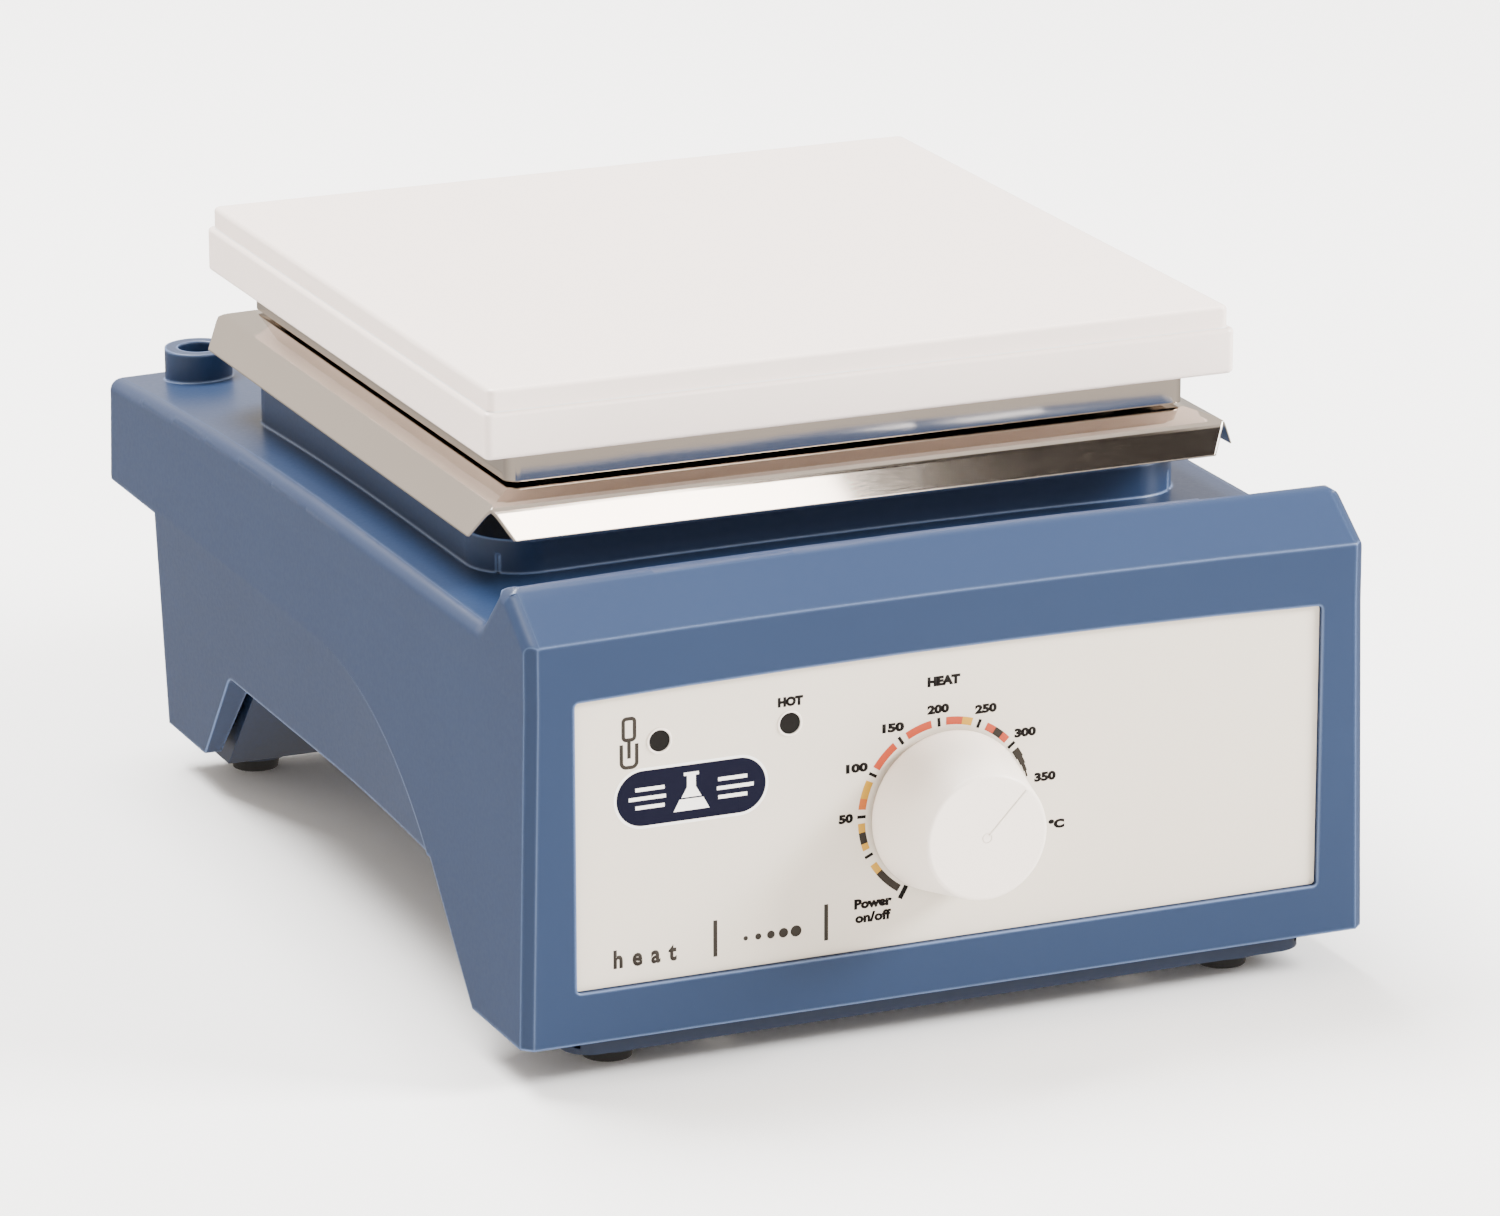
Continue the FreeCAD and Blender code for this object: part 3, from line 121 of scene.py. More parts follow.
@dataclass(frozen=True)
class Finish:
    """A surface finish: two near colours, a sheen that varies and a fine grain.

    The grain sizes are real sizes in millimetres. The edge size is the radius
    that the process leaves on every edge and inner corner.
    """

    name: str
    colour: str
    shade: str
    roughness: float
    spread: float = 0.05
    metallic: float = 0.0
    ior: float = 1.5
    grain_mm: float = 0.5
    grain_height_mm: float = 0.01
    patch_mm: float = 40.0
    edge_mm: float = 0.0
    # Paler colour painted along edges and inner corners as a highlight; none when empty.
    edge_highlight_colour: str = ""
    wave_mm: float = 0.0
    wave_height_mm: float = 0.0
    stretch: tuple[float, float, float] = (1.0, 1.0, 1.0)

    def build(self) -> bpy.types.Material:
        """Makes the material.

        Returns:
            A node material on Object coordinates.
        """
        material = bpy.data.materials.new(self.name)
        material.use_nodes = True
        tree = material.node_tree
        tree.nodes.clear()
        place = add_node(tree, "ShaderNodeTexCoord").outputs["Object"]
        mapped = add_node(tree, "ShaderNodeMapping", {"Scale": self.stretch}, {"Vector": place})
        patch = add_node(tree, "ShaderNodeTexNoise",
                         {"Scale": 1 / (self.patch_mm * MM), "Detail": 3.0, "Roughness": 0.5},
                         {"Vector": place})
        grain = add_node(tree, "ShaderNodeTexNoise",
                         {"Scale": 1 / (self.grain_mm * MM), "Detail": 2.0, "Roughness": 0.55},
                         {"Vector": mapped.outputs["Vector"]})
        tint = add_node(tree, "ShaderNodeMix",
                        {MIX_FIRST: linear(self.colour), MIX_SECOND: linear(self.shade)},
                        {"Factor": patch.outputs["Fac"]}, data_type="RGBA")
        sheen = add_node(tree, "ShaderNodeMapRange",
                         {"To Min": max(self.roughness - self.spread, 0.02),
                          "To Max": min(self.roughness + self.spread, 1.0)},
                         {"Value": grain.outputs["Fac"]})
        relief = {"Height": grain.outputs["Fac"]}
        colour = self.round_edges_and_paint_highlight(tree, tint.outputs[MIX_RESULT], relief)
        self.add_swell(tree, place, relief)
        bump = add_node(tree, "ShaderNodeBump",
                        {"Strength": 1.0, "Distance": self.grain_height_mm * MM}, relief)
        shader = add_node(tree, "ShaderNodeBsdfPrincipled",
                          {"Metallic": self.metallic, "IOR": self.ior},
                          {"Base Color": colour, "Roughness": sheen.outputs["Result"],
                           "Normal": bump.outputs["Normal"]})
        add_node(tree, "ShaderNodeOutputMaterial", None, {"Surface": shader.outputs["BSDF"]})
        return material

    def round_edges_and_paint_highlight(self, tree: bpy.types.NodeTree, colour: bpy.types.NodeSocket,
                     relief: dict) -> bpy.types.NodeSocket:
        """Rounds the shading at edges, and paints a pale highlight along them and inner corners where a
        highlight colour is stated.

        Args:
            tree: node tree of the material.
            colour: colour away from the edges.
            relief: links of the bump node, which gain the rounded normal.

        Returns:
            The colour with its painted edge highlight.
        """
        if not self.edge_mm:
            return colour
        edge = add_node(tree, "ShaderNodeBevel", {"Radius": self.edge_mm * MM}, samples=8)
        relief["Normal"] = edge.outputs["Normal"]
        if not self.edge_highlight_colour:
            return colour
        # Painted highlight: a paler colour goes in where the rounded normal turns away from the true one,
        # on edges and inner corners.
        flat = add_node(tree, "ShaderNodeNewGeometry")
        turn = add_node(tree, "ShaderNodeVectorMath", None,
                        {0: edge.outputs["Normal"], 1: flat.outputs["Normal"]},
                        operation="DOT_PRODUCT")
        # Mask of the painted highlight: none on flat faces, full where the edge turns.
        rim = add_node(tree, "ShaderNodeMapRange",
                       {"From Min": EDGE_HIGHLIGHT_START, "From Max": EDGE_HIGHLIGHT_FULL, "To Min": 0.0,
                        "To Max": 1.0}, {"Value": turn.outputs["Value"]})
        # The painted highlight colour mixed into the base colour by that mask.
        pale = add_node(tree, "ShaderNodeMix", {MIX_SECOND: linear(self.edge_highlight_colour)},
                        {"Factor": rim.outputs["Result"], MIX_FIRST: colour}, data_type="RGBA")
        return pale.outputs[MIX_RESULT]

    def add_swell(self, tree: bpy.types.NodeTree, place: bpy.types.NodeSocket,
                  relief: dict) -> None:
        """Adds the slow waves of thin sheet below the grain, where they are stated.

        Args:
            tree: node tree of the material.
            place: coordinates of the waves.
            relief: links of the bump node, which gain the waved normal.
        """
        if not self.wave_mm:
            return
        wave = add_node(tree, "ShaderNodeTexNoise",
                        {"Scale": 1 / (self.wave_mm * MM), "Detail": 1.0}, {"Vector": place})
        slow = {"Height": wave.outputs["Fac"]}
        if "Normal" in relief:
            slow["Normal"] = relief["Normal"]
        swell = add_node(tree, "ShaderNodeBump",
                         {"Strength": 1.0, "Distance": self.wave_height_mm * MM}, slow)
        relief["Normal"] = swell.outputs["Normal"]


def ink(name: str, colour: str, shade: str, roughness: float, ior: float = 1.5) -> Finish:
    """Finish of a printing ink, which shows no grain.

    Args:
        name: name of its material.
        colour: sRGB hex value.
        shade: second sRGB hex value, close to the first.
        roughness: dullness of the dry film.
        ior: strength of its sheen.

    Returns:
        The finish.
    """
    return Finish(name, colour, shade, roughness, ior=ior, grain_mm=0.3, grain_height_mm=0.001)


class Finishes:
    """All finishes of the unit, each made once."""

    def __init__(self) -> None:
        """Names each real material and what it gives the eye."""
        self.table: dict[str, Finish] = {
            # Polyester powder coat on die-cast aluminium: satin, with a faint orange peel, and a paler
            # blue painted highlight on its edges and inner corners.
            "housing_paint": Finish("powder_coat_blue", "#1F304E", "#213351", 0.34, 0.05, ior=1.42,
                                    grain_mm=0.9, grain_height_mm=0.005, edge_mm=1.0,
                                    edge_highlight_colour="#5D7299"),
            # Stoved paint on pressed steel: darker and a little glossier than the casting.
            "pan_paint": Finish("stoved_paint_navy", "#14233D", "#172742", 0.4, 0.05,
                                grain_mm=0.8, grain_height_mm=0.005, edge_mm=0.4),
            # Glazed ceramic: white, glossy, with slow waves left by the glaze, and a white painted
            # highlight on its edges and inner corners.
            "plate": Finish("white_glaze", "#FDEEE6", "#F9EAE1", 0.2, 0.04, ior=1.52,
                            grain_mm=2.5, grain_height_mm=0.004, patch_mm=60.0, edge_mm=0.6,
                            edge_highlight_colour="#FFFFFF"),
            # Bright rolled stainless sheet: mirror-like with fine streaks from the rolls.
            "polished_steel": Finish("bright_stainless", "#D2C9C0", "#C8BEB4", 0.075, 0.025,
                                     metallic=1.0, grain_mm=0.3, grain_height_mm=0.0003,
                                     stretch=(0.12, 1.0, 1.0), edge_mm=0.4, wave_mm=26.0,
                                     wave_height_mm=0.1),
            # Zinc-plated fasteners: grey metal, half dull.
            "steel": Finish("zinc_plate", "#B9BABC", "#ABADB0", 0.35, 0.08, metallic=1.0,
                            grain_mm=0.4, grain_height_mm=0.002, edge_mm=0.2),
            # Moulded rubber: black, dull, slightly rough.
            "rubber": Finish("moulded_rubber", "#161617", "#1E1E1F", 0.78, 0.08,
                             grain_mm=0.35, grain_height_mm=0.01, edge_mm=0.3),
            # Screen-printed polycarbonate label: warm white, fine matt texture.
            "fascia": Finish("polycarbonate_label", "#DDD3C4", "#D9CFC0", 0.5, 0.06,
                             grain_mm=0.25, grain_height_mm=0.002, patch_mm=80.0),
            # Moulded thermoset: white with a soft gloss.
            "knob": Finish("moulded_urea_white", "#FCF0E4", "#F8ECE0", 0.34, 0.04, ior=1.52,
                           grain_mm=0.6, grain_height_mm=0.002, edge_mm=0.5),
            # Smoked lens of an unlit lamp: almost black, glossy.
            "lens": Finish("smoked_lens", "#151312", "#1A1816", 0.25, 0.04, ior=1.3,
                           grain_mm=0.5, grain_height_mm=0.001),
            # Glass-fibre circuit board: green lacquer.
            "board": Finish("glass_fibre_board", "#24563A", "#1F4C33", 0.4, 0.05,
                            grain_mm=0.4, grain_height_mm=0.004),
            # Phenolic moulding: black, satin.
            "moulding": Finish("phenolic_black", "#18181A", "#202022", 0.42, 0.05,
                               grain_mm=0.4, grain_height_mm=0.004, edge_mm=0.4),
            # Ceramic fibre board: pale, fully dull.
            "insulation": Finish("ceramic_fibre_board", "#D9D3C6", "#CDC6B7", 0.95, 0.04,
                                 grain_mm=0.6, grain_height_mm=0.05),
            # Heat-tinted steel sheath: dark grey.
            "element": Finish("oxidised_sheath", "#5A5550", "#4C4844", 0.5, 0.08, metallic=1.0,
                              grain_mm=0.5, grain_height_mm=0.004),
            # Turned brass: yellow metal, satin.
            "brass": Finish("turned_brass", "#C9A45A", "#BD9850", 0.3, 0.06, metallic=1.0,
                            grain_mm=0.4, grain_height_mm=0.002),
            # Printing inks: thin flat films, the dark ones duller than the coloured ones.
            "ink_dark": ink("ink_dark_grey", "#332E29", "#2F2A25", 0.7, 1.2),
            "ink_black": ink("ink_black", "#13100F", "#171311", 0.7, 1.2),
            "ink_navy": ink("ink_navy", "#0B0C1F", "#0D0E23", 0.7, 1.2),
            "ink_white": ink("ink_white", "#FBF9F5", "#F7F5F0", 0.5),
            "ink_yellow": ink("ink_yellow", "#C28F04", "#BD8B04", 0.55),
            "ink_orange": ink("ink_orange", "#C05E08", "#BB5B07", 0.55),
            "ink_red": ink("ink_red_orange", "#B23A12", "#AD3811", 0.55),
        }
        self.made: dict[str, bpy.types.Material] = {}

    def get(self, name: str) -> bpy.types.Material:
        """Material of a finish, made at its first use."""
        if name not in self.made:
            self.made[name] = self.table[name].build()
        return self.made[name]


# Modelling helpers

def deselect() -> None:
    """Leaves edit mode and selects nothing."""
    if bpy.context.object and bpy.context.object.mode != "OBJECT":
        bpy.ops.object.mode_set(mode="OBJECT")
    bpy.ops.object.select_all(action="DESELECT")


def select_only(obj: bpy.types.Object) -> None:
    """Makes one object the selected and active one."""
    deselect()
    obj.select_set(True)
    bpy.context.view_layer.objects.active = obj


def place_mesh(obj: bpy.types.Object) -> bpy.types.Object:
    """Moves an object's place, turn and scale into its mesh."""
    select_only(obj)
    bpy.ops.object.transform_apply(location=True, rotation=True, scale=True)
    return obj


def settle(obj: bpy.types.Object, name: str, body: Body, material: bpy.types.Material) -> bpy.types.Object:
    """Finishes a piece: place in its mesh, name, body and material.

    Args:
        obj: the modelled object.
        name: plain name of the piece.
        body: moving body that carries it.
        material: its finish.

    Returns:
        The finished object.
    """
    place_mesh(obj)
    obj.name = name
    obj.data.name = name
    obj.data.materials.clear()
    obj.data.materials.append(material)
    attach(obj, body.value)
    deselect()
    log.info("%s made", name)
    return obj


def join(objects: list[bpy.types.Object]) -> bpy.types.Object:
    """Joins several mesh objects into the first one."""
    deselect()
    for obj in objects:
        obj.select_set(True)
    bpy.context.view_layer.objects.active = objects[0]
    if len(objects) > 1:
        bpy.ops.object.join()
    return bpy.context.object


def apply_modifier(obj: bpy.types.Object, kind: str, **settings: object) -> None:
    """Adds a modifier with its settings and applies it.

    Args:
        obj: the object that it changes.
        kind: modifier type, such as BEVEL.
        settings: properties of the modifier.
    """
    select_only(obj)
    made = obj.modifiers.new(kind.lower(), kind)
    for key, setting in settings.items():
        setattr(made, key, setting)
    bpy.ops.object.modifier_apply(modifier=made.name)


def edit_where(obj: bpy.types.Object, test: Callable[[Vector], bool]) -> None:
    """Goes into edit mode with only the vertices selected whose place passes a test.

    Args:
        obj: the mesh object.
        test: tells from a vertex's place whether it is selected.
    """
    select_only(obj)
    bpy.context.tool_settings.mesh_select_mode = (True, False, False)
    bpy.ops.object.mode_set(mode="EDIT")
    bpy.ops.mesh.select_all(action="DESELECT")
    bpy.ops.object.mode_set(mode="OBJECT")
    for vertex in obj.data.vertices:
        vertex.select = test(vertex.co)
    bpy.ops.object.mode_set(mode="EDIT")


# Printed control panel

@dataclass
class Press:
    """Flat printed shapes on an upright plane that faces the front, sizes in mm."""

    face: float = PANEL_FACE
    thickness: float = INK
    # A ring starts from an edge of this width and takes one step for this many degrees.
    first_edge: float = 0.02
    step: float = 3.0

    def bar(self, x: float, z: float, wide: float, tall: float,
            turn: float = 0.0) -> bpy.types.Object:
        """Flat rectangle.

        Args:
            x: its middle across.
            z: its middle upward.
            wide: width.
            tall: height.
            turn: clockwise turn in degrees.

        Returns:
            The flat mesh.
        """
        deselect()
        bpy.ops.mesh.primitive_plane_add(
            size=1.0, location=(x * MM, (self.face - self.thickness) * MM, z * MM),
            rotation=(math.radians(90), math.radians(turn), 0))
        obj = bpy.context.object
        obj.scale = (wide * MM, tall * MM, 1)
        return place_mesh(obj)

    def arc(self, centre: tuple[float, float], radius: float, wide: float, start: float,
            end: float) -> bpy.types.Object:
        """Stretch of a flat ring, spun from one short edge.

        Args:
            centre: middle of the ring.
            radius: radius of the ring's middle line.
            wide: width of the ring.
            start: first angle, degrees clockwise from the top.
            end: last angle.

        Returns:
            The flat mesh.
        """
        turn = math.radians(start)
        obj = self.bar(centre[0] + radius * math.sin(turn), centre[1] + radius * math.cos(turn),
                       self.first_edge, wide, start)
        side = Vector((math.cos(turn), 0, -math.sin(turn)))
        middle = Vector((centre[0] * MM, 0, centre[1] * MM))
        edit_where(obj, lambda co: (co - middle).dot(side) > 0)
        bpy.ops.mesh.delete(type="VERT")
        bpy.ops.mesh.select_all(action="SELECT")
        bpy.ops.mesh.spin(steps=max(3, int(abs(end - start) / self.step)),
                          angle=math.radians(end - start),
                          center=(middle.x, (self.face - self.thickness) * MM, middle.z),
                          axis=(0, -1, 0))
        bpy.ops.object.mode_set(mode="OBJECT")
        return obj

    def disc(self, x: float, z: float, radius: float) -> bpy.types.Object:
        """Flat disc."""
        deselect()
        bpy.ops.mesh.primitive_circle_add(
            vertices=32, radius=radius * MM, fill_type="NGON",
            location=(x * MM, (self.face - self.thickness) * MM, z * MM),
            rotation=(math.radians(90), 0, 0))
        return place_mesh(bpy.context.object)

    def finish(self, parts: list[bpy.types.Object], name: str, material: bpy.types.Material,
               body: Body = Body.UNIT, slot: str = "fascia") -> bpy.types.Object:
        """Joins flat shapes, turns them to the front and gives them the ink's thickness.

        Args:
            parts: flat meshes that lie side by side.
            name: plain name of the printed piece.
            material: its finish.
            body: moving body that carries it.
            slot: not used.

        Returns:
            The printed piece.
        """
        obj = join(parts)
        for polygon in obj.data.polygons:
            if polygon.normal.y > 0:
                polygon.flip()
        obj.data.update()
        apply_modifier(obj, "SOLIDIFY", thickness=self.thickness * MM, offset=-1.0)
        return settle(obj, name, body, material)


@dataclass
class Label:
    """One printed word or number: its middle and size in mm, and its weight."""

    text: str
    x: float
    z: float
    wide: float
    tall: float
    weight: float = 0.03
    spacing: float = 1.0


@dataclass
class PanelPrint:
    """Scale, words and symbols printed on the panel."""

    finishes: Finishes
    press: Press = field(default_factory=Press)
    numbers: list[Label] = field(default_factory=lambda: [
        Label("HEAT", -2.0, 68.25, 6.6, 1.9, 0.075),
        Label("50", -21.5, 44.2, 2.9, 1.8, 0.068),
        Label("100", -19.3, 53.7, *NUMBER),
        Label("150", -12.1, 60.5, *NUMBER),
        Label("200", -3.1, 62.9, *NUMBER),
        Label("250", 6.5, 61.8, *NUMBER),
        Label("300", 14.5, 56.2, *NUMBER),
        Label("350", 18.6, 47.1, *NUMBER),
        Label("°C", 21.0, 37.6, 3.3, 1.9, 0.075),
        Label("HOT", -32.5, 68.15, 5.0, 1.9, 0.075),
        Label("Power", -16.0, 27.4, 7.6, 2.0, 0.06),
        Label("on/off", -16.0, 24.7, 7.2, 2.0, 0.05),
    ])
    word: Label = field(default_factory=lambda: Label("heat", -61.2, 23.5, 12.4, 3.6, 0.04, 1.9))
    # Tick angles in degrees clockwise from the top.
    ticks: tuple[float, ...] = (-114.5, -87.7, -60.0, -32.3, -4.9, 23.0, 51.3)
    tick_size: tuple[float, float] = (0.6, 1.7)
    off_tick: float = -150.4
    off_radius: float = 17.2
    off_size: tuple[float, float] = (0.95, 2.7)
    dial_radius: float = 16.9
    # Two upright rules, and the row of growing dots between them.
    rules: tuple[float, ...] = (-47.4, -25.4)
    rule_z: float = 24.8
    rule_size: tuple[float, float] = (0.8, 7.0)
    dots: int = 5
    first_dot: tuple[float, float] = (-41.4, 24.0)
    dot_pitch: float = 2.5
    dot_radius: float = 0.45
    dot_growth: float = 0.16
    # Coloured stretches: first and last angle, width in mm and ink.
    stretches: tuple[tuple[float, float, float, Ink], ...] = (
        (-146.5, -128.0, 1.4, Ink.DARK),
        (-128.0, -121.0, 1.4, Ink.YELLOW),
        (-110.0, -105.5, 1.4, Ink.YELLOW),
        (-105.5, -98.0, 1.4, Ink.DARK),
        (-98.0, -92.0, 1.4, Ink.YELLOW),
        (-83.0, -76.0, 1.5, Ink.ORANGE),
        (-76.0, -64.5, 1.5, Ink.YELLOW),
        (-55.5, -37.0, 1.5, Ink.RED),
        (-27.5, -10.0, 1.5, Ink.RED),
        (0.0, 11.0, 1.5, Ink.RED),
        (11.0, 18.0, 1.5, Ink.YELLOW),
        (28.5, 35.0, 1.5, Ink.RED),
        (35.0, 41.0, 1.5, Ink.DARK),
        (41.0, 46.5, 1.5, Ink.RED),
        (55.5, 62.0, 1.5, Ink.DARK),
        (62.0, 67.0, 1.1, Ink.DARK),
        (67.0, 72.0, 0.7, Ink.DARK),
        (72.0, 76.0, 0.35, Ink.DARK),
    )

    def letter(self, label: Label) -> bpy.types.Object:
        """Sets one label as a flat mesh of its stated size.

        Args:
            label: the word or number.

        Returns:
            The flat mesh.
        """
        deselect()
        bpy.ops.object.text_add()
        obj = bpy.context.object
        obj.data.body = label.text
        obj.data.space_character = label.spacing
        obj.data.offset = label.weight
        obj.data.resolution_u = 3
        bpy.ops.object.convert(target="MESH")
        obj = bpy.context.object
        bpy.ops.object.origin_set(type="ORIGIN_GEOMETRY", center="BOUNDS")
        obj.rotation_euler = (math.radians(90), 0, 0)
        obj.scale = (label.wide * MM / obj.dimensions.x, label.tall * MM / obj.dimensions.y, 1)
        obj.location = (label.x * MM, (self.press.face - INK) * MM, label.z * MM)
        return place_mesh(obj)

    def print_words(self) -> None:
        """Prints the dial's numbers, its words and the spaced word at the lower left."""
        self.press.finish([self.letter(label) for label in self.numbers], "scale_numbers",
                          self.finishes.get(Ink.BLACK.value))
        self.press.finish([self.letter(self.word)], "heat_word",
                          self.finishes.get(Ink.DARK.value))

    def print_scale(self) -> None:
        """Prints the dial's coloured stretches and its ticks."""
        by_ink: dict[Ink, list[bpy.types.Object]] = {}
        for start, end, wide, ink in self.stretches:
            part = self.press.arc(DIAL, self.dial_radius, wide, start, end)
            by_ink.setdefault(ink, []).append(part)
        for ink, parts in by_ink.items():
            self.press.finish(parts, "scale_" + ink.value, self.finishes.get(ink.value))
        marks = [self.tick(angle, self.dial_radius, self.tick_size) for angle in self.ticks]
        marks.append(self.tick(self.off_tick, self.off_radius, self.off_size))
        self.press.finish(marks, "scale_ticks", self.finishes.get(Ink.BLACK.value))

    def tick(self, angle: float, radius: float, size: tuple[float, float]) -> bpy.types.Object:
        """One radial tick of the dial.

        Args:
            angle: degrees clockwise from the top.
            radius: radius of its middle.
            size: width and length.

        Returns:
            The flat mesh.
        """
        turn = math.radians(angle)
        return self.press.bar(DIAL[0] + radius * math.sin(turn),
                              DIAL[1] + radius * math.cos(turn), *size, angle)

    def print_rules(self) -> None:
        """Prints the two thin upright rules with a row of plain dots between them."""
        parts = [self.press.bar(x, self.rule_z, *self.rule_size) for x in self.rules]
        x, z = self.first_dot
        parts += [self.press.disc(x + self.dot_pitch * n, z, self.dot_radius + self.dot_growth * n)
                  for n in range(self.dots)]
        self.press.finish(parts, "panel_rules", self.finishes.get(Ink.DARK.value))

    def build(self) -> None:
        """Prints the whole panel."""
        self.print_words()
        self.print_scale()
        self.print_rules()
        PlugSymbol(self.finishes, self.press).build()
        Badge(self.finishes, self.press).build()


@dataclass
class PlugSymbol:
    """Line drawing of a plug above its socket, beside the power lamp."""

    finishes: Finishes
    press: Press
    x: float = -64.1
    line: float = 0.7
    # The plug is a round-cornered box: its middle, half of each straight side, corner radius.
    plug_z: float = 66.9
    plug_flat: tuple[float, float] = (0.5, 1.4)
    plug_corner: float = 0.6
    # The stem: its middle below the plug's middle, and its length.
    stem_drop: float = 3.9
    stem_length: float = 3.2
    # The socket is a round-cornered cup: its corners' height, their radius, half of its flat.
    socket_z: float = 60.7
    socket_corner: float = 1.0
    socket_flat: float = 0.5
    socket_side: float = 3.4

    def plug(self) -> list[bpy.types.Object]:
        """Outline of the plug and its stem."""
        press, x, z = self.press, self.x, self.plug_z
        across, up = self.plug_flat
        corner = self.plug_corner
        parts = [press.bar(x + side * (across + corner), z, self.line, 2 * up)
                 for side in (-1, 1)]
        parts += [press.bar(x, z + side * (up + corner), 2 * across, self.line)
                  for side in (-1, 1)]
        for right, high, start in ((-1, 1, -90), (1, 1, 0), (1, -1, 90), (-1, -1, 180)):
            parts.append(press.arc((x + across * right, z + up * high), corner, self.line, start,
                                   start + 90))
        parts.append(press.bar(x, z - self.stem_drop, self.line, self.stem_length))
        return parts

    def socket(self) -> list[bpy.types.Object]:
        """Outline of the socket."""
        press, x, z = self.press, self.x, self.socket_z
        flat, corner, tall = self.socket_flat, self.socket_corner, self.socket_side
        parts = [press.bar(x + side * (flat + corner), z + tall / 2, self.line, tall)
                 for side in (-1, 1)]
        parts.append(press.arc((x - flat, z), corner, self.line, 180, 270))
        parts.append(press.arc((x + flat, z), corner, self.line, 90, 180))
        parts.append(press.bar(x, z - corner, 2 * flat, self.line))
        return parts

    def build(self) -> None:
        """Prints the symbol."""
        self.press.finish(self.plug() + self.socket(), "plug_symbol",
                          self.finishes.get(Ink.DARK.value))


@dataclass
class Badge:
    """Plain round-ended badge with a laboratory flask between two groups of stripes."""

    finishes: Finishes
    press: Press
    x: float = -52.0
    z: float = 53.5
    half: float = 9.4
    radius: float = 5.2
    rim_gap: float = 0.3
    rim_wide: float = 0.5
    # Flask from its lip to its foot: height over the middle, width, height, narrowing upward.
    flask: tuple[tuple[float, float, float, float], ...] = (
        (3.5, 2.9, 0.6, 1.0), (2.1, 1.7, 2.2, 1.0), (0.05, 3.9, 1.9, 0.44), (-2.3, 7.0, 2.2, 0.66))
    # Stripes: heights, distance from the middle and width, each with its loss per mm of height.
    stripes: tuple[float, ...] = (-1.7, 0.0, 1.7)
    stripe_out: tuple[float, float] = (8.6, 0.3)
    stripe_wide: tuple[float, float] = (7.2, 0.9)
    stripe_tall: float = 0.7

    def narrow_top(self, obj: bpy.types.Object, keep: float) -> bpy.types.Object:
        """Makes a trapezoid of a flat bar.

        Args:
            obj: the bar.
            keep: part of its width that its upper edge keeps.

        Returns:
            The changed bar.
        """
        low = min(v.co.z for v in obj.data.vertices)
        middle = sum((v.co for v in obj.data.vertices), Vector()) / len(obj.data.vertices)
        edit_where(obj, lambda co: co.z > low + 0.001 * MM)
        bpy.ops.transform.resize(value=(keep, 1, 1), center_override=middle)
        bpy.ops.object.mode_set(mode="OBJECT")
        return obj

    def pill(self, radius: float, wide: float) -> list[bpy.types.Object]:
        """Two half rings at the badge's ends, stated by their middle line and width."""
        return [self.press.arc((self.x + self.half, self.z), radius, wide, 0, 180),
                self.press.arc((self.x - self.half, self.z), radius, wide, 180, 360)]

    def build(self) -> None:
        """Prints the field, the flask with its stripes, and the rim."""
        x, z, press = self.x, self.z, self.press
        long = 2 * self.half
        parts = [press.bar(x, z, long, 2 * self.radius)] + self.pill(self.radius / 2, self.radius)
        press.finish(parts, "badge_field", self.finishes.get(Ink.NAVY.value))
        over = Press(face=press.face - INK)
        parts = []
        for up, wide, tall, keep in self.flask:
            bar = over.bar(x, z + up, wide, tall)
            parts.append(self.narrow_top(bar, keep) if keep < 1.0 else bar)
        for side in (-1, 1):
            for up in self.stripes:
                out = self.stripe_out[0] - self.stripe_out[1] * abs(up)
                wide = self.stripe_wide[0] - self.stripe_wide[1] * abs(up)
                parts.append(over.bar(x + side * out, z + up, wide, self.stripe_tall))
        over.finish(parts, "badge_flask", self.finishes.get(Ink.WHITE.value))
        rim = self.radius + self.rim_gap
        parts = self.pill(rim, self.rim_wide)
        parts += [press.bar(x, z + side * rim, long, self.rim_wide) for side in (-1, 1)]
        press.finish(parts, "badge_rim", self.finishes.get(Ink.WHITE.value))


@dataclass
class LampRims:
    """Thin pale moulded rims round the two indicator lenses."""

    finishes: Finishes
    places: tuple[tuple[float, float], ...] = ((-58.2, 64.0), (-32.65, 64.0))
    radius: float = 2.25
    thick: float = 0.22
    proud: float = 0.05

    def build(self) -> None:
        """Makes both rims as one piece, half sunk in the panel."""
        parts = []
        for x, z in self.places:
            deselect()
            bpy.ops.mesh.primitive_torus_add(
                location=(x * MM, (PANEL_FACE - self.proud) * MM, z * MM),
                rotation=(math.radians(90), 0, 0), major_radius=self.radius * MM,
                minor_radius=self.thick * MM, major_segments=48, minor_segments=10)
            parts.append(place_mesh(bpy.context.object))
        rims = join(parts)
        bpy.ops.object.shade_smooth()
        settle(rims, "lamp_rims", Body.UNIT, self.finishes.get("knob"))


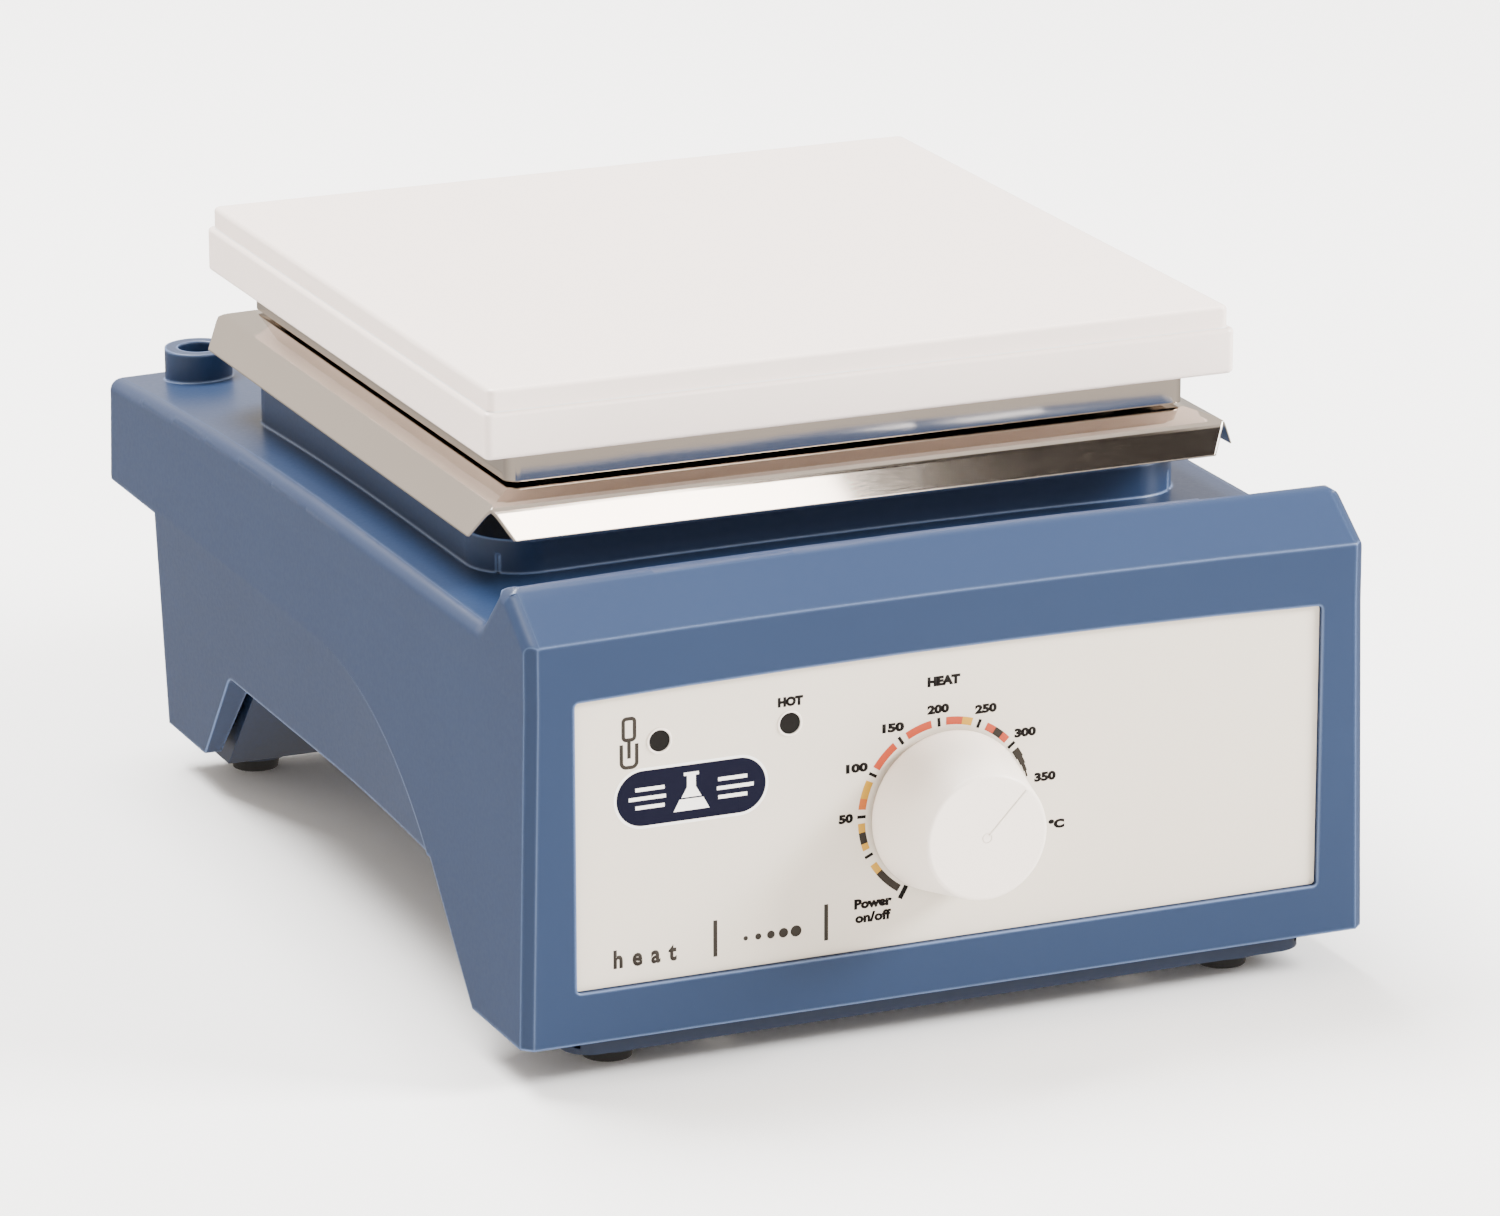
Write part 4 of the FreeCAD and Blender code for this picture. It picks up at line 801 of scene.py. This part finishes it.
@dataclass
class KnobDress:
    """Raised pointer line and moulding mark on the knob's face."""

    finishes: Finishes
    angle: float = 44.0
    length: float = 10.6
    wide: float = 0.5
    proud: float = 0.14
    # Distance of the line from the middle, and the round of its edges.
    start: float = 0.6
    softness: float = 0.06
    # Ring of the moulding mark: its radius and half its thickness.
    mark_radius: float = 0.9
    mark_thick: float = 0.1

    def build(self) -> None:
        """Makes the pointer and the mark, which turn with the knob."""
        turn = math.radians(self.angle)
        middle = self.length / 2 + self.start
        press = Press(face=KNOB_FACE, thickness=self.proud)
        line = press.bar(DIAL[0] + middle * math.sin(turn), DIAL[1] + middle * math.cos(turn),
                         self.wide, self.length, self.angle)
        pointer = press.finish([line], "knob_pointer", self.finishes.get("knob"), Body.KNOB,
                               "knob")
        apply_modifier(pointer, "BEVEL", width=self.softness * MM, segments=2)
        deselect()
        bpy.ops.mesh.primitive_torus_add(
            location=(DIAL[0] * MM, KNOB_FACE * MM, DIAL[1] * MM),
            rotation=(math.radians(90), 0, 0), major_radius=self.mark_radius * MM,
            minor_radius=self.mark_thick * MM, major_segments=32, minor_segments=8)
        bpy.ops.object.shade_smooth()
        settle(bpy.context.object, "knob_mould_mark", Body.KNOB, self.finishes.get("knob"))


# Stage, light and camera

@dataclass(frozen=True)
class Lamp:
    """Soft rectangular light: its place and size in metres and its power in watts."""

    name: str
    place: tuple[float, float, float]
    size: tuple[float, float]
    power: float


@dataclass(frozen=True)
class Board:
    """Board outside the view: its place and size in metres, and its glow if it is pale."""

    name: str
    place: tuple[float, float, float]
    size: tuple[float, float]
    glow: float = 0.0


@dataclass
class Studio:
    """Pale floor, soft lights and the camera."""

    # Camera fitted to the photograph: place in mm and angles in degrees.
    place: tuple[float, float, float] = (-555.8, -1305.8, 488.6)
    yaw: float = 23.244
    pitch: float = -17.104
    roll: float = -0.097
    lens: float = 182.6
    # Brightness of the surroundings: low in front, low behind, and high above the floor.
    low_front: float = 1.1
    low_back: float = 0.7
    high_sky: float = 1.45
    front_to_back: float = 0.6
    horizon: tuple[float, float] = (-0.1, 0.12)
    floor_size: float = 40.0
    # Middle of the unit, which the lamps face, and of the flange that mirrors the boards.
    unit_middle: tuple[float, float, float] = (0.0, 0.0, 0.05)
    flange: tuple[float, float, float] = (0.0, -0.076, 0.096)
    lamps: tuple[Lamp, ...] = (
        Lamp("key", (1.35, -0.85, 0.95), (0.7, 0.5), 90.0),
        Lamp("top", (-0.25, 0.75, 1.6), (1.2, 0.9), 118.0),
    )
    boards: tuple[Board, ...] = (
        Board("pale_board", (0.237, -0.650, 0.599), (0.161, 0.34), 16.0),
        Board("dark_board", (0.371, -0.608, 0.630), (0.21, 0.27)),
    )

    def floor(self) -> None:
        """Large pale floor, which polished surfaces don't mirror."""
        deselect()
        bpy.ops.mesh.primitive_plane_add(size=self.floor_size, location=(0, 0, 0))
        obj = bpy.context.object
        obj.name = "floor"
        shader = self.coat_stage(obj, "studio_floor", "#FAF9F8")
        shader.inputs["Roughness"].default_value = 0.95
        obj.visible_glossy = False
        deselect()

    def coat_stage(self, obj: bpy.types.Object, name: str, colour: str) -> bpy.types.Node:
        """Gives a stage object a plain material.

        Args:
            obj: floor or board.
            name: name of the material.
            colour: its sRGB hex value.

        Returns:
            The material's shader node.
        """
        material = bpy.data.materials.new(name)
        material.use_nodes = True
        shader = material.node_tree.nodes["Principled BSDF"]
        shader.inputs["Base Color"].default_value = linear(colour)
        obj.data.materials.append(material)
        return shader

    def aim(self, obj: bpy.types.Object, place: tuple[float, float, float],
            target: tuple[float, float, float]) -> None:
        """Places an object and turns its lower side to a target."""
        obj.location = place
        obj.rotation_mode = "QUATERNION"
        obj.rotation_quaternion = (Vector(target) - Vector(place)).to_track_quat("-Z", "Y")

    def board(self, plan: Board) -> None:
        """Board that shows only in polished surfaces. A dark one also holds off light."""
        deselect()
        bpy.ops.mesh.primitive_plane_add(size=1.0)
        obj = bpy.context.object
        obj.name = plan.name
        obj.scale = (*plan.size, 1)
        bpy.ops.object.transform_apply(location=False, rotation=False, scale=True)
        self.aim(obj, plan.place, self.flange)
        shader = self.coat_stage(obj, "studio_flag", "#16120F")
        shader.inputs["Roughness"].default_value = 1.0
        shader.inputs["Specular IOR Level"].default_value = 0.0
        shader.inputs["Emission Color"].default_value = linear("#FFF8F0")
        shader.inputs["Emission Strength"].default_value = plan.glow
        obj.visible_camera = obj.visible_diffuse = False
        obj.visible_shadow = not plan.glow
        deselect()

    def lamp(self, plan: Lamp) -> None:
        """Soft rectangular light that faces the unit."""
        data = bpy.data.lights.new(plan.name, "AREA")
        data.shape = "RECTANGLE"
        data.size, data.size_y = plan.size
        data.energy = plan.power
        obj = bpy.data.objects.new(plan.name, data)
        bpy.context.collection.objects.link(obj)
        self.aim(obj, plan.place, self.unit_middle)

    def world(self) -> None:
        """Pale surroundings, bright from just above the floor and dim below it."""
        world = bpy.data.worlds.new("surroundings")
        world.use_nodes = True
        tree = world.node_tree
        way = add_node(tree, "ShaderNodeTexCoord")
        parts = add_node(tree, "ShaderNodeSeparateXYZ", links={"Vector": way.outputs["Generated"]})
        low = add_node(tree, "ShaderNodeMapRange",
                       {"From Min": -self.front_to_back, "From Max": self.front_to_back,
                        "To Min": self.low_front, "To Max": self.low_back},
                       {"Value": parts.outputs["Y"]})
        level = add_node(tree, "ShaderNodeMapRange",
                         {"From Min": self.horizon[0], "From Max": self.horizon[1],
                          "To Max": self.high_sky},
                         {"Value": parts.outputs["Z"], "To Min": low.outputs["Result"]})
        back = tree.nodes["Background"]
        back.inputs["Color"].default_value = linear("#F6EEE4")
        tree.links.new(level.outputs["Result"], back.inputs["Strength"])
        bpy.context.scene.world = world

    def camera(self) -> None:
        """Camera at the photograph's viewing angle."""
        data = bpy.data.cameras.new("camera")
        data.lens = self.lens
        data.sensor_width = 36.0
        data.sensor_fit = "HORIZONTAL"
        data.clip_start, data.clip_end = 0.05, 50.0
        obj = bpy.data.objects.new("camera", data)
        bpy.context.collection.objects.link(obj)
        yaw, pitch, roll = (math.radians(v) for v in (self.yaw, self.pitch, self.roll))
        ahead = Vector((math.sin(yaw) * math.cos(pitch), math.cos(yaw) * math.cos(pitch),
                        math.sin(pitch)))
        right = Vector((math.cos(yaw), -math.sin(yaw), 0))
        up = right.cross(ahead)
        right, up = (math.cos(roll) * right + math.sin(roll) * up,
                     -math.sin(roll) * right + math.cos(roll) * up)
        turn = Matrix((right, up, -ahead)).transposed().to_4x4()
        obj.matrix_world = Matrix.Translation(Vector(self.place) * MM) @ turn
        bpy.context.scene.camera = obj

    def build(self) -> None:
        """Sets up floor, lights, surroundings and camera."""
        self.camera()
        self.floor()
        self.world()
        for plan in self.lamps:
            self.lamp(plan)
        for plan in self.boards:
            self.board(plan)
        log.info("studio ready")


@dataclass
class Unit:
    """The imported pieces, each dressed by its material slot."""

    finishes: Finishes

    def build(self) -> None:
        """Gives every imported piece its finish."""
        slots = {part["node"]: part["material_slot"] for part in frame["record"]["subparts"]}
        for name, obj in frame["nodes"].items():
            for slot in obj.material_slots:
                slot.material = self.finishes.get(slots[name])
        log.info("%d pieces dressed", len(slots))


def main() -> None:
    """Builds the scene."""
    finishes = Finishes()
    Studio().build()
    Unit(finishes).build()
    PanelPrint(finishes).build()
    LampRims(finishes).build()
    KnobDress(finishes).build()


if __name__ == "__main__":
    main()
